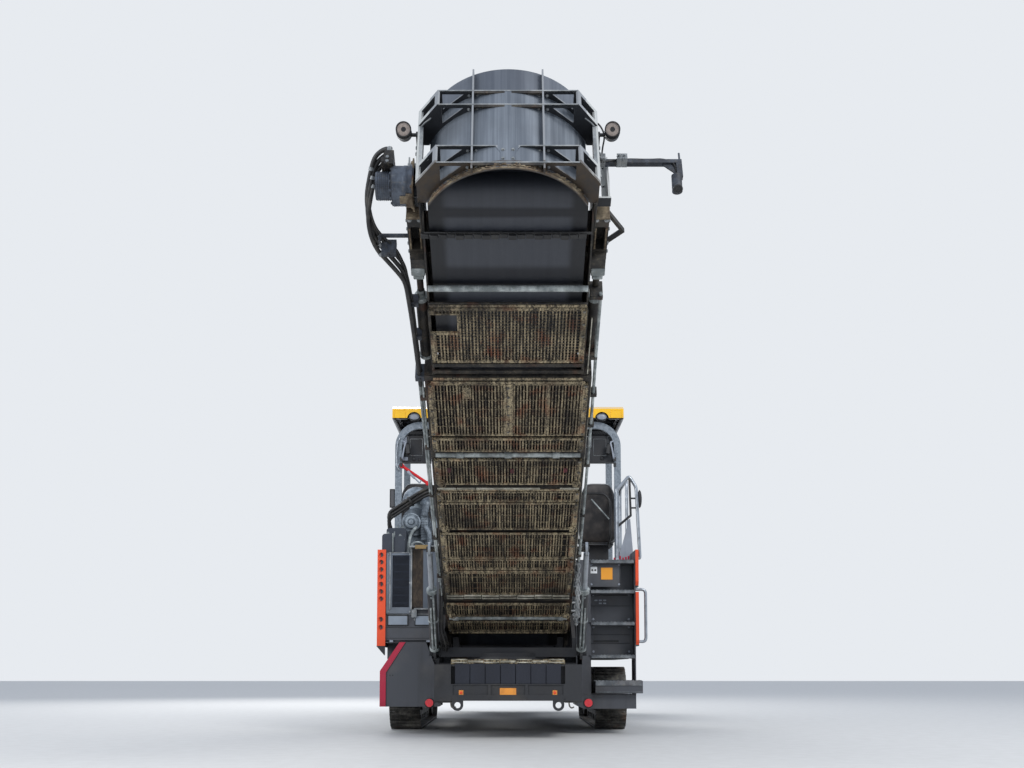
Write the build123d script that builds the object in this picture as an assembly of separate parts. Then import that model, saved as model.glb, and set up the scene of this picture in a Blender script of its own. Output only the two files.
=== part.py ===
from build123d import *
from math import atan2, cos, degrees, hypot, pi, radians, sin, sqrt, tan
import os

os.makedirs("parts", exist_ok=True)

# Material transfer vehicle on tracks, in millimetres: +X is its hopper end, +Y its left side, +Z is up.
# The origin is on the ground, below the middle of its length and width.

# Overall
rear_x = -710           # rear face of the body, fenders and ladder
body_half = 1445        # from the middle to the side of the body
floor_z = 2000          # driver's floor
seat_gap = 0.3          # left between pieces that rest on each other but are not one
steel = 12              # plate of frames and walls

# Chassis
girder_in, girder_out = 600, 775
girder_z0, deck_z = 378, 780
chassis_rear_x, chassis_front_x = -1700, 4330
front_arm_x = 6960      # front of the arms and the hopper's end
slew_x = -1160          # axis of the slewing ring

# Tracks
track_y = 1240
pad_width = 370
track_rear_x, track_front_x = 630, 3870
chain_r = 318           # inside of the chain on its end wheels
chain_t = 30
pad_t = 34
pad_count = 52
pad_share = 0.78        # of the pitch that a pad fills
axle_z = chain_r + chain_t + pad_t

# Discharge conveyor, modelled level with its lift hinge at the origin and its head towards -X
hinge_x, hinge_z = -900, 1250
incline = 25.74
lower_half, upper_half = 670, 597
hood_reach = 524        # from the head drum's axis to the nose of the hood
frame_top, frame_bottom = 210, -210
head_s = 6385           # the head drum's axis
upper_length = 1757     # from the lower frame's end to the head drum's axis
lower_end_s = head_s - upper_length
stretch = lower_end_s / 4628        # of the stations that are given for a lower frame of that length
tail_s = -260
head_drum_r, tail_drum_r = 172, 130
belt_t = 12
belt_half = upper_half - 48
hood_clear = 11         # from the front of the belt to the edges of the hood

# Feed conveyor, from the hopper up to the discharge conveyor
feed_tail_x, feed_tail_z = front_arm_x - 460, 640
feed_head_x, feed_head_z = -500, 1860
feed_r = 140
feed_half = 540


def block(x0, x1, y0, y1, z0, z1):
    """A straight block between two corners."""
    return Pos((x0 + x1) / 2, (y0 + y1) / 2, (z0 + z1) / 2) * Box(abs(x1 - x0), abs(y1 - y0), abs(z1 - z0))


def from_side(points, y0, y1):
    """An outline of (x, z) points, carried along Y from y0 to y1."""
    return Pos(0, y0, 0) * extrude(Plane.XZ * Polygon(*points, align=None), y1 - y0, dir=(0, 1, 0))


def from_rear(points, x0, x1):
    """An outline of (y, z) points, carried along X from x0 to x1."""
    return Pos(x0, 0, 0) * extrude(Plane.YZ * Polygon(*points, align=None), x1 - x0, dir=(1, 0, 0))


def from_above(points, z0, z1):
    """An outline of (x, y) points, carried up from z0 to z1."""
    return Pos(0, 0, z0) * extrude(Polygon(*points, align=None), z1 - z0, dir=(0, 0, 1))


def bar(start, end, r):
    """A round bar between two points."""
    along = Vector(*end) - Vector(*start)
    return extrude(Plane(origin=start, z_dir=along) * Circle(r), along.length)


def pipe(points, r):
    """A round tube along straight runs that are mitred together."""
    path = Polyline(*points)
    return sweep(Plane(origin=path @ 0, z_dir=path % 0) * Circle(r), path, transition=Transition.RIGHT)


def left_right(shape):
    """A piece and its mirror image on the other side."""
    return [shape, mirror(shape, about=Plane.XZ)]


def fused(*pieces):
    """One body of pieces that are welded or cast together."""
    return pieces[0] + list(pieces[1:])


def save(node, *pieces):
    solids = [solid for piece in pieces for solid in piece.solids()]
    export_step(solids[0] if len(solids) == 1 else Compound(solids), f"parts/{node}.step")


# Main frame: two box girders, cross beams, the slewing deck and the arms that reach under the hopper
arm_in, arm_out = 615, 700
cross_tube_r = 90
cross_tube_z = 480
rear_beam_z0, rear_beam_z1 = 400, 575
deck_t = 20

girder = from_side([(chassis_rear_x, 400), (chassis_rear_x + 60, girder_z0), (chassis_front_x, girder_z0),
                    (chassis_front_x, deck_z - 120), (chassis_front_x - 500, deck_z),
                    (chassis_rear_x, deck_z)], girder_in, girder_out)
front_arm = from_side([(chassis_front_x - 40, girder_z0), (front_arm_x, 300), (front_arm_x, 480),
                       (chassis_front_x - 40, 650)], arm_in, arm_out)
rear_beam = block(chassis_rear_x, chassis_rear_x + 140, -girder_in, girder_in, rear_beam_z0, rear_beam_z1)
recess = [block(chassis_rear_x - 1, chassis_rear_x + 14, y0, y1, rear_beam_z0 + 62, rear_beam_z1 - 10)
          for y0, y1 in ((-580, -210), (-180, 180), (210, 580))]
frame_half = 95         # half the width of a track's carriage beam
tube_end = track_y - frame_half - seat_gap
cross_tubes = [bar((x, -tube_end, cross_tube_z), (x, tube_end, cross_tube_z), cross_tube_r) for x in (1250, 3250)]
slew_deck = block(chassis_rear_x + 20, -300, -girder_in, girder_in, deck_z - deck_t, deck_z)
bulkhead = block(-300, -300 + 40, -girder_in, girder_in, girder_z0, deck_z)
rear_wall = block(chassis_rear_x + 100, chassis_rear_x + 112, -girder_in, girder_in, rear_beam_z1, deck_z - deck_t)
front_beam = block(front_arm_x - 90, front_arm_x, -arm_out, arm_out, 300, 540)
roller_x, roller_z, roller_radius = front_arm_x + 210, 440, 100
push_pin_x, push_pin_r, push_half_z = front_arm_x + 45, 20, 70
push_lugs = [block(front_arm_x - 1, push_pin_x + 38, -45, 45, *sorted((roller_z + side * (push_half_z + 1),
                                                                     roller_z + side * (push_half_z + 20))))
             for side in (-1, 1)]
push_pin = Pos(push_pin_x, 0, roller_z) * Cylinder(push_pin_r, 2 * push_half_z + 4)
tow_y, tow_r, tow_rim, tow_t = 530, 32, 28, 30
eye_z = rear_beam_z0 - tow_r - 14
tow_face = Circle(tow_r + tow_rim) + Pos(0, 34) * Rectangle(2 * (tow_r + tow_rim), 68) - Circle(tow_r)
tow_eye = Pos(chassis_rear_x + 5, tow_y, eye_z) * extrude(Plane.YZ * tow_face, tow_t, dir=(1, 0, 0))
apron_x, apron_z, apron_r, apron_pivot_y = front_arm_x - 25, 575, 22, 620
apron_lugs = left_right(fused(bar((apron_x, apron_pivot_y, apron_z), (apron_x, apron_pivot_y + 30, apron_z), apron_r),
                              block(apron_x - apron_r, apron_x + apron_r, apron_pivot_y, apron_pivot_y + 30,
                                    530, apron_z)))
main_frame = fused(*left_right(girder), *left_right(front_arm), rear_beam, *cross_tubes, slew_deck, bulkhead,
                   rear_wall, front_beam, *push_lugs, push_pin, *left_right(tow_eye), *apron_lugs) - recess
save("main_frame", main_frame)

for_side = {"left": 1, "right": -1}


# Tracks: each is one closed loop, with a pad on each pitch
def on_loop(distance, r):
    """Place and turn of a point that far along a loop of radius r about the two end wheels."""
    straight, half_turn = track_front_x - track_rear_x, pi * r
    if distance < straight:
        return track_rear_x + distance, axle_z - r, 0
    distance -= straight
    if distance < half_turn:
        a = distance / r
        return track_front_x + r * sin(a), axle_z - r * cos(a), degrees(a)
    distance -= half_turn
    if distance < straight:
        return track_front_x - distance, axle_z + r, 180
    a = (distance - straight) / r
    return track_rear_x - r * sin(a), axle_z + r * cos(a), 180 + degrees(a)


pad_seat_r = chain_r + chain_t
loop_length = 2 * (track_front_x - track_rear_x) + 2 * pi * pad_seat_r
pitch = loop_length / pad_count
middle = (track_rear_x + track_front_x) / 2
loop_outline = (Pos(middle, axle_z) * SlotCenterToCenter(track_front_x - track_rear_x, 2 * pad_seat_r)
                - Pos(middle, axle_z) * SlotCenterToCenter(track_front_x - track_rear_x, 2 * chain_r))
pads = []
for i in range(pad_count):
    x, z, turn = on_loop((i + 0.5) * pitch, pad_seat_r)
    half = pitch * pad_share / 2
    outer_r = pad_seat_r + pad_t
    depth = pad_t if turn in (0, 180) else sqrt(outer_r ** 2 - (half - 8) ** 2) - pad_seat_r
    pads.append(Pos(x, z) * Rot(0, 0, turn)
                * Polygon((8 - half, -depth), (half - 8, -depth), (half, 8), (-half, 8), align=None))
track_outline = loop_outline + pads
track = Pos(0, track_y + pad_width / 2, 0) * extrude(Plane.XZ * track_outline, pad_width)
for side, sign in for_side.items():
    save(f"track_{side}", track if sign > 0 else mirror(track, about=Plane.XZ))

# Track carriages: a box beam with the end wheels, road rollers and carrier rollers that the chain runs on
roller_r, carrier_r = 75, 60
wheel_r = chain_r - seat_gap
beam_z0, beam_z1 = axle_z - chain_r + 70, axle_z + 160
beam_face = Polygon((track_rear_x, axle_z - 90), (track_rear_x + 420, beam_z0), (track_front_x - 420, beam_z0),
                    (track_front_x, axle_z - 90), (track_front_x, axle_z + 90), (track_front_x - 420, beam_z1),
                    (track_rear_x + 420, beam_z1), (track_rear_x, axle_z + 90), align=None)
rollers = [Pos(x, axle_z - wheel_r + roller_r) * Circle(roller_r) for x in range(1150, 3400, 370)]
carriers = [Pos(x, axle_z + wheel_r - carrier_r) * Circle(carrier_r) for x in (1750, 2750)]
carrier_posts = [Pos(x, (beam_z1 + axle_z + wheel_r - carrier_r) / 2) * Rectangle(60, 160) for x in (1750, 2750)]
carriage = Pos(0, track_y + frame_half, 0) * extrude(Plane.XZ * (beam_face + rollers + carriers + carrier_posts),
                                                     2 * frame_half)
wheels = [Pos(x, track_y, axle_z) * Rot(90, 0, 0) * Cylinder(wheel_r, pad_width - 120)
          for x in (track_rear_x, track_front_x)]
hub = Pos(track_rear_x, track_y, axle_z) * Rot(90, 0, 0) * Cylinder(150, pad_width + 20)
save("track_carriages", *left_right(fused(carriage, *wheels, hub)))

# Feed conveyor: a trough between the girders, with one endless belt
feed_angle = atan2(feed_head_z - feed_tail_z, feed_tail_x - feed_head_x)
feed_angle_down = abs(feed_angle)
feed_length = hypot(feed_head_z - feed_tail_z, feed_tail_x - feed_head_x)
at_feed = Pos((feed_tail_x + feed_head_x) / 2, 0, (feed_tail_z + feed_head_z) / 2) * Rot(0, degrees(feed_angle), 0)


def endless_belt(length, r, half):
    """A belt about two drums of radius r, level, with its middle at the origin."""
    outline = SlotCenterToCenter(length, 2 * (r + belt_t)) - SlotCenterToCenter(length, 2 * r)
    return Pos(0, half, 0) * extrude(Plane.XZ * outline, 2 * half)


trough_in = feed_half + 15
feed_drums = [Pos(x, 0, 0) * Rot(90, 0, 0) * (Cylinder(feed_r - seat_gap, 2 * feed_half) - Cylinder(feed_r - 20, 1000)
                                              + Cylinder(35, 2 * (trough_in - seat_gap)))
              for x in (-feed_length / 2, feed_length / 2)]
save("feed_belt", at_feed * endless_belt(feed_length, feed_r, feed_half))
save("feed_drums", *[at_feed * drum for drum in feed_drums])
trough_low, trough_top, trough_high = -feed_r - 20, feed_r + 10, feed_r + 110
trough_wall = from_side([(-feed_length / 2 - 60, trough_low), (feed_length / 2 + 60, trough_low),
                         (feed_length / 2 + 60, 60), (feed_length / 2 - 400, trough_high),
                         (0, trough_high), (-300, trough_top), (-feed_length / 2 - 60, trough_top)],
                        trough_in, trough_in + steel)
trough_ties = [block(x - 30, x + 30, -trough_in - 2, trough_in + 2, -40, 40)
               for x in (-2800, -1400, 0, 1400, 2800)]
feed_trough = at_feed * fused(*left_right(trough_wall), *trough_ties)
post_y = girder_in + 40


def feed_z(x):
    """Height of the feed conveyor's middle plane at a station."""
    return feed_head_z - (x - feed_head_x) * tan(feed_angle_down)


trough_posts = [block(x, x + 80, trough_in + 2, y, z0, feed_z(x) - 28) for x, y, z0 in (
    (-220, post_y, deck_z + seat_gap), (1200, post_y, deck_z + seat_gap),
    (2900, post_y, deck_z + seat_gap), (front_arm_x - 1460, arm_in - seat_gap, 440))]
save("feed_trough", fused(feed_trough, *[p for post in trough_posts for p in left_right(post)]))

# Hopper: a fixed floor and sill, two wings hinged along its sides and a flap across its front
hopper_x0, hopper_x1 = chassis_front_x + 70, front_arm_x - 60
prop_count = 5
wing_hinge_y, wing_hinge_z, wing_pin_r = 905, 850, 24
sill_t = 20
sill = from_rear([(arm_in, 665), (arm_out + 10, 665), (wing_hinge_y - wing_pin_r - seat_gap, wing_hinge_z - 20),
                  (wing_hinge_y - wing_pin_r - seat_gap, wing_hinge_z + 8), (690, 700), (arm_in, 700)], hopper_x0, hopper_x1)
sill_props = [from_rear([(arm_out + seat_gap, 400), (arm_out + 60, 440), (wing_hinge_y - 40, wing_hinge_z - 40),
                         (arm_out + 20, 680), (arm_out + seat_gap, 670)], x, x + sill_t)
              for x in [hopper_x0 + 40 + i * (hopper_x1 - hopper_x0 - 100) / (prop_count - 1) for i in range(prop_count)]]
save("hopper_sill", fused(sill, *sill_props), mirror(fused(sill, *sill_props), about=Plane.XZ))

wing_tip_y, wing_tip_z = 1745, 1480
wing_x0, wing_x1 = hopper_x0 + 20, hopper_x1 - 20
wing_points = [(wing_hinge_y + 24, wing_hinge_z - 8), (1400, 960), (wing_tip_y, wing_tip_z - 40),
               (wing_tip_y, wing_tip_z), (wing_tip_y - 20, wing_tip_z), (1390, 976), (wing_hinge_y + 24, wing_hinge_z + 10)]
wing_panel = from_rear(wing_points, wing_x0, wing_x1)
wing_ends = [from_rear([(wing_hinge_y + 30, wing_hinge_z), (1400, 965), (wing_tip_y - 4, wing_tip_z - 30),
                        (wing_tip_y - 40, wing_tip_z), (1200, wing_hinge_z + 420), (wing_hinge_y + 30, wing_hinge_z + 180)],
                       x, x + steel) for x in (wing_x0, wing_x1 - steel)]
barrel_stations = (wing_x0 + 100, (wing_x0 + wing_x1) / 2 - 150, wing_x1 - 400)
wing_barrel = [bar((x, wing_hinge_y, wing_hinge_z), (x + 300, wing_hinge_y, wing_hinge_z), wing_pin_r)
               for x in barrel_stations]
wing_lugs = [block(x, x + 300, wing_hinge_y, wing_hinge_y + 40, wing_hinge_z - 8, wing_hinge_z + 10)
             for x in barrel_stations]
wing_ribs = [from_rear([(1120, 893), (1400, 955), (wing_tip_y, wing_tip_z - 45), (wing_tip_y + 30, wing_tip_z - 60), (1420, 915),
                        (1120, 868)], x, x + steel) for x in [wing_x0 + (wing_x1 - wing_x0) * i / 4 for i in (1, 2, 3)]]
wing_rim = block(wing_x0, wing_x1, wing_tip_y - 20, wing_tip_y + 32, wing_tip_z - 62, wing_tip_z - 50)
wing = fused(wing_panel, *wing_ends, *wing_barrel, *wing_lugs, *wing_ribs, wing_rim)
for side, sign in for_side.items():
    save(f"hopper_wing_{side}", wing if sign > 0 else mirror(wing, about=Plane.XZ))

apron_end = apron_pivot_y - seat_gap
apron = fused(block(apron_x - 8, apron_x + 12, -820, 820, apron_z + 40, apron_z + 380),
              bar((apron_x, -apron_end, apron_z), (apron_x, apron_end, apron_z), apron_r),
              *[block(apron_x - 8, apron_x + 12, y - 60, y + 60, apron_z, apron_z + 60) for y in (-450, 0, 450)])
save("hopper_apron", apron)

# Push beam on its upright pin, and the two rollers that the truck's wheels lean on
beam_x0, beam_x1 = front_arm_x + 58, roller_x - roller_radius - 12
beam_half = 1150
push_beam = fused(block(beam_x0, beam_x1, -beam_half, beam_half, roller_z - push_half_z, roller_z + push_half_z),
                  Pos(push_pin_x, 0, roller_z) * Cylinder(36, 2 * push_half_z))
push_beam = push_beam - Pos(push_pin_x, 0, roller_z) * Cylinder(push_pin_r + seat_gap, 2 * push_half_z + 2)
roller_ends = [block(beam_x1 - 10, roller_x + 30, y - 10, y + 10, roller_z - 50, roller_z + 50)
               for y in (-beam_half + 10, -30, 30, beam_half - 10)]
save("push_beam", fused(push_beam, *roller_ends))
roller_y0, roller_y1, shaft_y0, shaft_y1 = 50, beam_half - 30, 40 + seat_gap, beam_half - 20 - seat_gap
push_roller = fused(bar((roller_x, roller_y0, roller_z), (roller_x, roller_y1, roller_z), roller_radius),
                    bar((roller_x, shaft_y0, roller_z), (roller_x, shaft_y1, roller_z), 25))
for side, sign in for_side.items():
    save(f"push_roller_{side}", push_roller if sign > 0 else mirror(push_roller, about=Plane.XZ))

# Rear fenders and the lower body
fender_front_x = 130
red_edge = 70
fender_out = body_half - 1
fender_top_y, fender_slope_y = fender_out - 219, girder_out + 34
fender_points = [(fender_top_y, 1033), (fender_slope_y + 116, 1033), (fender_slope_y, 731), (girder_out, 731),
                 (girder_out, 310), (fender_out, 310), (fender_out, 709)]
fender_left = from_rear(fender_points, rear_x + 40, fender_front_x)
fender_face = from_rear([(fender_top_y, 1033), (fender_slope_y + 116, 1033), (fender_slope_y, 731), (girder_out, 731),
                         (girder_out, 310), (fender_out - red_edge, 310), (fender_out - red_edge, 690),
                         (fender_top_y - red_edge, 1033)], rear_x + 12, rear_x + 40)
save("fender_edge", from_rear([(fender_top_y - red_edge + 2, 1033), (fender_top_y, 1033), (fender_out, 709), (fender_out, 310),
                               (fender_out - red_edge + 2, 310), (fender_out - red_edge + 2, 690)],
                              rear_x, rear_x + 40 - seat_gap))
fender_right = from_rear([(-854, 287), (1 - fender_out, 287), (1 - fender_out, 446), (-girder_out, 446), (-girder_out, 320)],
                         rear_x + 12, fender_front_x)
left_inside = from_rear([(fender_top_y - 7, 1020), (fender_slope_y + 125, 1020), (fender_slope_y + 9, 718),
                         (girder_out + 12, 718), (girder_out + 12, 300), (fender_out - 12, 300), (fender_out - 12, 704)],
                        rear_x + 52, fender_front_x + 1)
right_inside = from_rear([(-girder_out - 12, 280), (13 - fender_out, 280), (13 - fender_out, 434), (-girder_out - 12, 434)],
                         rear_x + 24, fender_front_x + 1)
save("rear_fenders", fused(fender_left, fender_face) - left_inside, fender_right - right_inside)

lamp_r = 45
tail_lamps = [Pos(rear_x + 12 - 9, y, z) * Rot(0, 90, 0) * Cylinder(lamp_r, 18) for y, z in ((885, 352), (-905, 352))]
save("tail_lamps", *tail_lamps)

# Engine housing on the left: a shell with a cooler at its rear, the engine inside and two side doors
house_front_x = 2330
house_in = girder_out
house_low, house_high = 1057, 2043
wall = 25
track_clear_z = 850
shell_points = [(rear_x, house_low), (180, house_low), (180, track_clear_z), (house_front_x, track_clear_z),
                (house_front_x, floor_z - 40), (700, floor_z - 40), (640, house_high), (rear_x, house_high)]
inner_points = [(rear_x + wall, house_low + wall), (180 + wall, house_low + wall), (180 + wall, track_clear_z + wall),
                (house_front_x - wall, track_clear_z + wall), (house_front_x - wall, floor_z - 40 - wall),
                (700, floor_z - 40 - wall), (640, house_high - wall), (rear_x + wall, house_high - wall)]
shell = from_side(shell_points, house_in, body_half - 1) - from_side(inner_points, house_in + wall, body_half + 1)
pillar = block(790 - 40, 790 + 40, body_half - 60, body_half - 1, track_clear_z + 5, floor_z - 45)
plinth = block(rear_x + 60, 170, house_in, body_half - 40, 1033, house_low)
core_y0, core_y1, core_z0, core_z1 = body_half - 327, body_half - 136, 1425, 2014
cooler_port = block(rear_x - 1, rear_x + wall + 1, core_y0, core_y1, core_z0, core_z1)
engine_housing = fused(shell, pillar, plinth) - cooler_port
save("engine_housing", engine_housing)
save("engine_block", block(200 + 60, 1560, house_in + 55, body_half - 65, track_clear_z + wall, 1750))

cooler_frame = (block(rear_x - 30, rear_x, core_y0 - 20, body_half - 70, core_z0 - 70, core_z1 + 23)
                - block(rear_x - 31, rear_x + 1, core_y0, core_y1, core_z0, core_z1))
cooler_core = block(rear_x - 12, rear_x + 60, core_y0 + seat_gap, core_y1 - seat_gap, core_z0 + seat_gap,
                    core_z1 - seat_gap)
deflector = from_above([(rear_x, core_y0 - 22), (rear_x - 150, core_y0 - 166), (rear_x, house_in + 34)], 1403, 2094)
save("cooler", cooler_frame, cooler_core, deflector)
lights = [block(rear_x - 14, rear_x, y0, y1, 1228, 1329)
          for y0, y1 in ((body_half - 307, body_half - 93), (house_in + 51, house_in + 270))]

# Tank housing on the right, behind the ladder
tank_x0 = -300
tank_points = [(tank_x0, 1057), (180, 1057), (180, track_clear_z), (house_front_x, track_clear_z),
               (house_front_x, floor_z - 40), (tank_x0, floor_z - 40)]
tank_inner = [(tank_x0 + wall, 1057 + wall), (180 + wall, 1057 + wall), (180 + wall, track_clear_z + wall),
              (house_front_x - wall, track_clear_z + wall), (house_front_x - wall, floor_z - 40 - wall),
              (tank_x0 + wall, floor_z - 40 - wall)]
tank = (from_side(tank_points, -body_half + 1, -house_in)
        - from_side(tank_inner, -body_half - 1, -house_in - wall))
tank_pillar = block(790 - 40, 790 + 40, -body_half + 1, -body_half + 60, track_clear_z + 5, floor_z - 45)
save("tank_housing", fused(tank, tank_pillar))
save("fuel_tank", block(tank_x0 + 60, 740, 65 - body_half, -house_in - wall, 1057 + wall, 1800))

# Side doors: pressed panels with a turned-in rear edge, each hinged at its front
door_t = 35
door_low, door_high = 990, 2080
edge_depth = 95
hole_r = 27
hole_rows = [2020 - 83 * i for i in range(7)] + [1290, 1200]


door_in = body_half - 1 + seat_gap
door_out = door_in + door_t


def side_door(x0, x1, low, edge):
    """A door between two stations, with a pressed field; the rear one has a holed edge that turns inwards."""
    panel = block(x0, x1, door_in, door_out, low, floor_z + 40 if x0 > 0 else door_high)
    field = block(x0 + 90, x1 - 90, door_out - 8, door_out + 1, low + 110, low + 830)
    hinge = bar((x1, door_out, low + 100), (x1, door_out, low + 900), 8)
    door = fused(panel - field, hinge)
    if edge:
        turned = block(x0, x0 + 20, door_out - edge_depth, door_out, low, door_high)
        holes = [Pos(x0 + 10, door_out - edge_depth / 2, z) * Rot(0, 90, 0) * Cylinder(hole_r, 30)
                 for z in hole_rows]
        door = fused(door, turned) - holes
    return door


save("door_left_rear", side_door(rear_x - 25, 785, door_low, True))
save("door_left_front", side_door(795, house_front_x, 870, False))
save("door_right_rear", mirror(side_door(tank_x0 + 10, 785, door_low, False), about=Plane.XZ))
save("door_right_front", mirror(side_door(795, house_front_x, 870, False), about=Plane.XZ))

# Above the engine: a drum-shaped silencer with its end flange, an air cleaner under a dome, and rounded boxes
exhaust_x, exhaust_y, exhaust_z = 250, house_in + 332, 2490
silencer_r = 165
silencer = bar((exhaust_x - 160, exhaust_y, exhaust_z), (exhaust_x + 520, exhaust_y, exhaust_z), silencer_r)
silencer_feet = [block(exhaust_x + dx, exhaust_x + dx + 60, exhaust_y - 110, exhaust_y + 110, house_high, exhaust_z - 100)
                 for dx in (-100, 300)]
end_flange = bar((exhaust_x - 260, exhaust_y + 45, exhaust_z - 20), (exhaust_x - 150, exhaust_y + 45, exhaust_z - 20), 105)
side_duct = block(exhaust_x - 230, exhaust_x - 150, exhaust_y - 150, exhaust_y - 70, exhaust_z - 230, exhaust_z + 90)
dome_r, dome_z = 165, 2775
cleaner = Pos(exhaust_x + 40, exhaust_y) * Cylinder(90, dome_z - exhaust_z, align=(Align.CENTER, Align.CENTER, Align.MIN))
dome = Pos(exhaust_x + 40, exhaust_y + 12, dome_z) * (Sphere(dome_r) & Pos(0, 0, dome_r - 25) * Box(400, 400, 2 * dome_r))
save("exhaust", fused(silencer, *silencer_feet, end_flange, side_duct, Pos(0, 0, exhaust_z) * cleaner, dome))
intake_boxes = [fillet(block(x, x + 260, y, y + w, house_high, house_high + h).edges().filter_by(Axis.X), 35)
                for x, y, w, h in ((rear_x + 40, body_half - 127, 118, 225), (rear_x + 40, body_half - 269, 128, 200),
                                   (rear_x + 40, house_in + 125, 200, 90), (rear_x + 400, body_half - 255, 230, 330))]
save("service_boxes", *intake_boxes)

# Ladder on the right, with four treads and a bottom step
ladder_y0, ladder_y1 = 12 - body_half, 508 - body_half
tread_tops = (1963, 1622, 1260, 889)
tread_depth = 260
ladder_front = tank_x0 - 2
treads = [block(rear_x, rear_x + tread_depth, ladder_y0, ladder_y1, z - 40, z) for z in tread_tops]
stringers = [block(rear_x + 10, ladder_front, y, y + 12, 446, 1963) for y in (ladder_y0 - 12, ladder_y1)]
ladder_back = block(rear_x + tread_depth - 12, rear_x + tread_depth, ladder_y0, ladder_y1, tread_tops[-1] - 20, 1930)
bottom_step = block(rear_x - 60, rear_x + 300, ladder_y0 - 79, ladder_y1 - 44, 460, 600)
sign_panel = block(rear_x + 60, rear_x + 72, ladder_y1 - 344, ladder_y1, 1663, 1940)
save("signs", *lights, block(rear_x + 54, rear_x + 60 - seat_gap, ladder_y1 - 253, ladder_y1 - 123, 1745, 1880),
     block(rear_x + 54, rear_x + 60 - seat_gap, ladder_y1 - 78, ladder_y1 - 3, 1815, 1890))
side_guard = [from_side([(rear_x - 25, z0 + 60), (rear_x + 10, z0), (ladder_front, z0), (ladder_front, z1),
                         (rear_x - 25, z1)], -body_half - seat_gap - door_t, -body_half - seat_gap)
              for z0, z1 in ((990, 1600), (1660, 2080))]
save("ladder_guard", *side_guard)
inner_panel = (block(rear_x + 10, ladder_front, ladder_y1 + 10, -girder_out - seat_gap, 447, 1960)
               - block(rear_x + 20, ladder_front + 1, ladder_y1 + 20, -girder_out - seat_gap - 10, 457, 1950)
               - block(rear_x, rear_x + 80, -girder_out - 60, -girder_out + 5, 780, 1260))   # room for the lift cylinder
save("ladder", fused(*treads, *stringers, ladder_back, bottom_step, sign_panel, inner_panel))

# Driver's platform: floor, seats, console
floor_t = 40
floor_rear_x, floor_front_x = -120, 2420
platform = fused(block(floor_rear_x, floor_front_x, -body_half + 5, house_in, floor_z - floor_t, floor_z),
                 block(720, floor_front_x, house_in - 5, body_half - 5, floor_z - floor_t, floor_z),
                 block(ladder_front + 10, floor_rear_x + 5, -body_half + 5, -house_in, floor_z - floor_t, floor_z))
tunnel_half = 600        # half the width of the cover above the feed conveyor
tunnel_high, tunnel_front_x = 2212, 1095
cover = from_side([(floor_rear_x, floor_z - floor_t), (floor_rear_x, tunnel_high), (tunnel_front_x, floor_z),
                   (tunnel_front_x, floor_z - floor_t)], -tunnel_half, tunnel_half)
belt_way = from_side([(floor_rear_x - 1, 1900), (floor_rear_x - 1, tunnel_high - 22), (1198, floor_z - floor_t),
                      (1198, 1900)], 15 - tunnel_half, tunnel_half - 15)
save("platform", fused(platform, cover) - belt_way)
seat_x, seat_y, seat_half, seat_z = 1250, body_half - 295, 240, floor_z + 330
pan_t = 20
pedestal = fused(block(seat_x + 60, seat_x + 360, seat_y - 150, seat_y + 150, floor_z, seat_z - pan_t),
                 block(seat_x - 120, seat_x + 470, seat_y - 200, seat_y + 200, seat_z - pan_t, seat_z))
save("seat_bases", *left_right(pedestal))
cushion = chamfer(block(seat_x, seat_x + 480, seat_y - seat_half, seat_y + seat_half, seat_z + seat_gap,
                        seat_z + 120).edges(), 25)
seat_back = from_side([(seat_x - 110, seat_z + seat_gap), (seat_x - seat_gap, seat_z + seat_gap),
                       (seat_x - seat_gap, seat_z + 140), (seat_x - 130, seat_z + 780),
                       (seat_x - 230, seat_z + 760)], seat_y - seat_half, seat_y + seat_half)
seat_back = chamfer(seat_back.edges(), 22)
save("seats", *left_right(cushion), *left_right(seat_back))
console = (from_side([(2050, floor_z), (2330, floor_z), (2330, floor_z + 900), (2200, floor_z + 960),
                      (2010, floor_z + 840), (2100, floor_z + 780)], -700, 700)
           - from_side([(2065, floor_z - 1), (2315, floor_z - 1), (2315, floor_z + 885), (2200, floor_z + 940),
                        (2040, floor_z + 838), (2115, floor_z + 785)], -685, 685))
hoop_xs, hoop_d = (950, 2350), 60          # stations of the two roof hoops, and their depth
hoop_half = body_half - 10
overhead_x = hoop_xs[0] + hoop_d / 2 + seat_gap
overhead = block(overhead_x, overhead_x + 140, hoop_half - 450, hoop_half - 35, 3360, 3700)
save("console", console, *left_right(overhead))

# Roof on two bent hoops of flat tube, with a lamp in each of its two rear arches
hoop_w = 85
hoop_top = 3868
hoop_bend = 320


def hoop_outline(inset):
    """The hoop's closed outline, that much inside its outer edge."""
    return Pos(0, floor_z) * RectangleRounded(2 * (hoop_half - inset), 2 * (hoop_top - floor_z - inset), hoop_bend - inset)


above_floor = Pos(0, hoop_top) * Rectangle(4 * hoop_half, 2 * (hoop_top - floor_z))
hoop_face = (hoop_outline(0) - hoop_outline(hoop_w)) & above_floor
hoops = [Pos(x - hoop_d / 2, 0, 0) * extrude(Plane.YZ * hoop_face, hoop_d, dir=(1, 0, 0)) for x in hoop_xs]
save("roof_hoops", *hoops)
roof_x0, roof_x1 = hoop_xs[0] - 150, hoop_xs[1] + 250
roof_half = body_half + 20
roof_low = 3885
roof_lamp_y, roof_lamp_r = roof_half - 275, 62
arch_r = 88
roof = from_side([(roof_x0, roof_low + 12), (roof_x0 + 40, roof_low), (roof_x1, roof_low), (roof_x1, roof_low + 90),
                  (roof_x1 - 120, roof_low + 165), (roof_x0 + 120, roof_low + 175), (roof_x0, roof_low + 128)],
                 -roof_half, roof_half)
roof = roof - from_side([(roof_x0 + 60, roof_low - 1), (roof_x1 - 20, roof_low - 1), (roof_x1 - 20, roof_low + 80),
                         (roof_x1 - 130, roof_low + 147), (roof_x0 + 130, roof_low + 157), (roof_x0 + 30, roof_low + 110)],
                        20 - roof_half, roof_half - 20)
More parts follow.
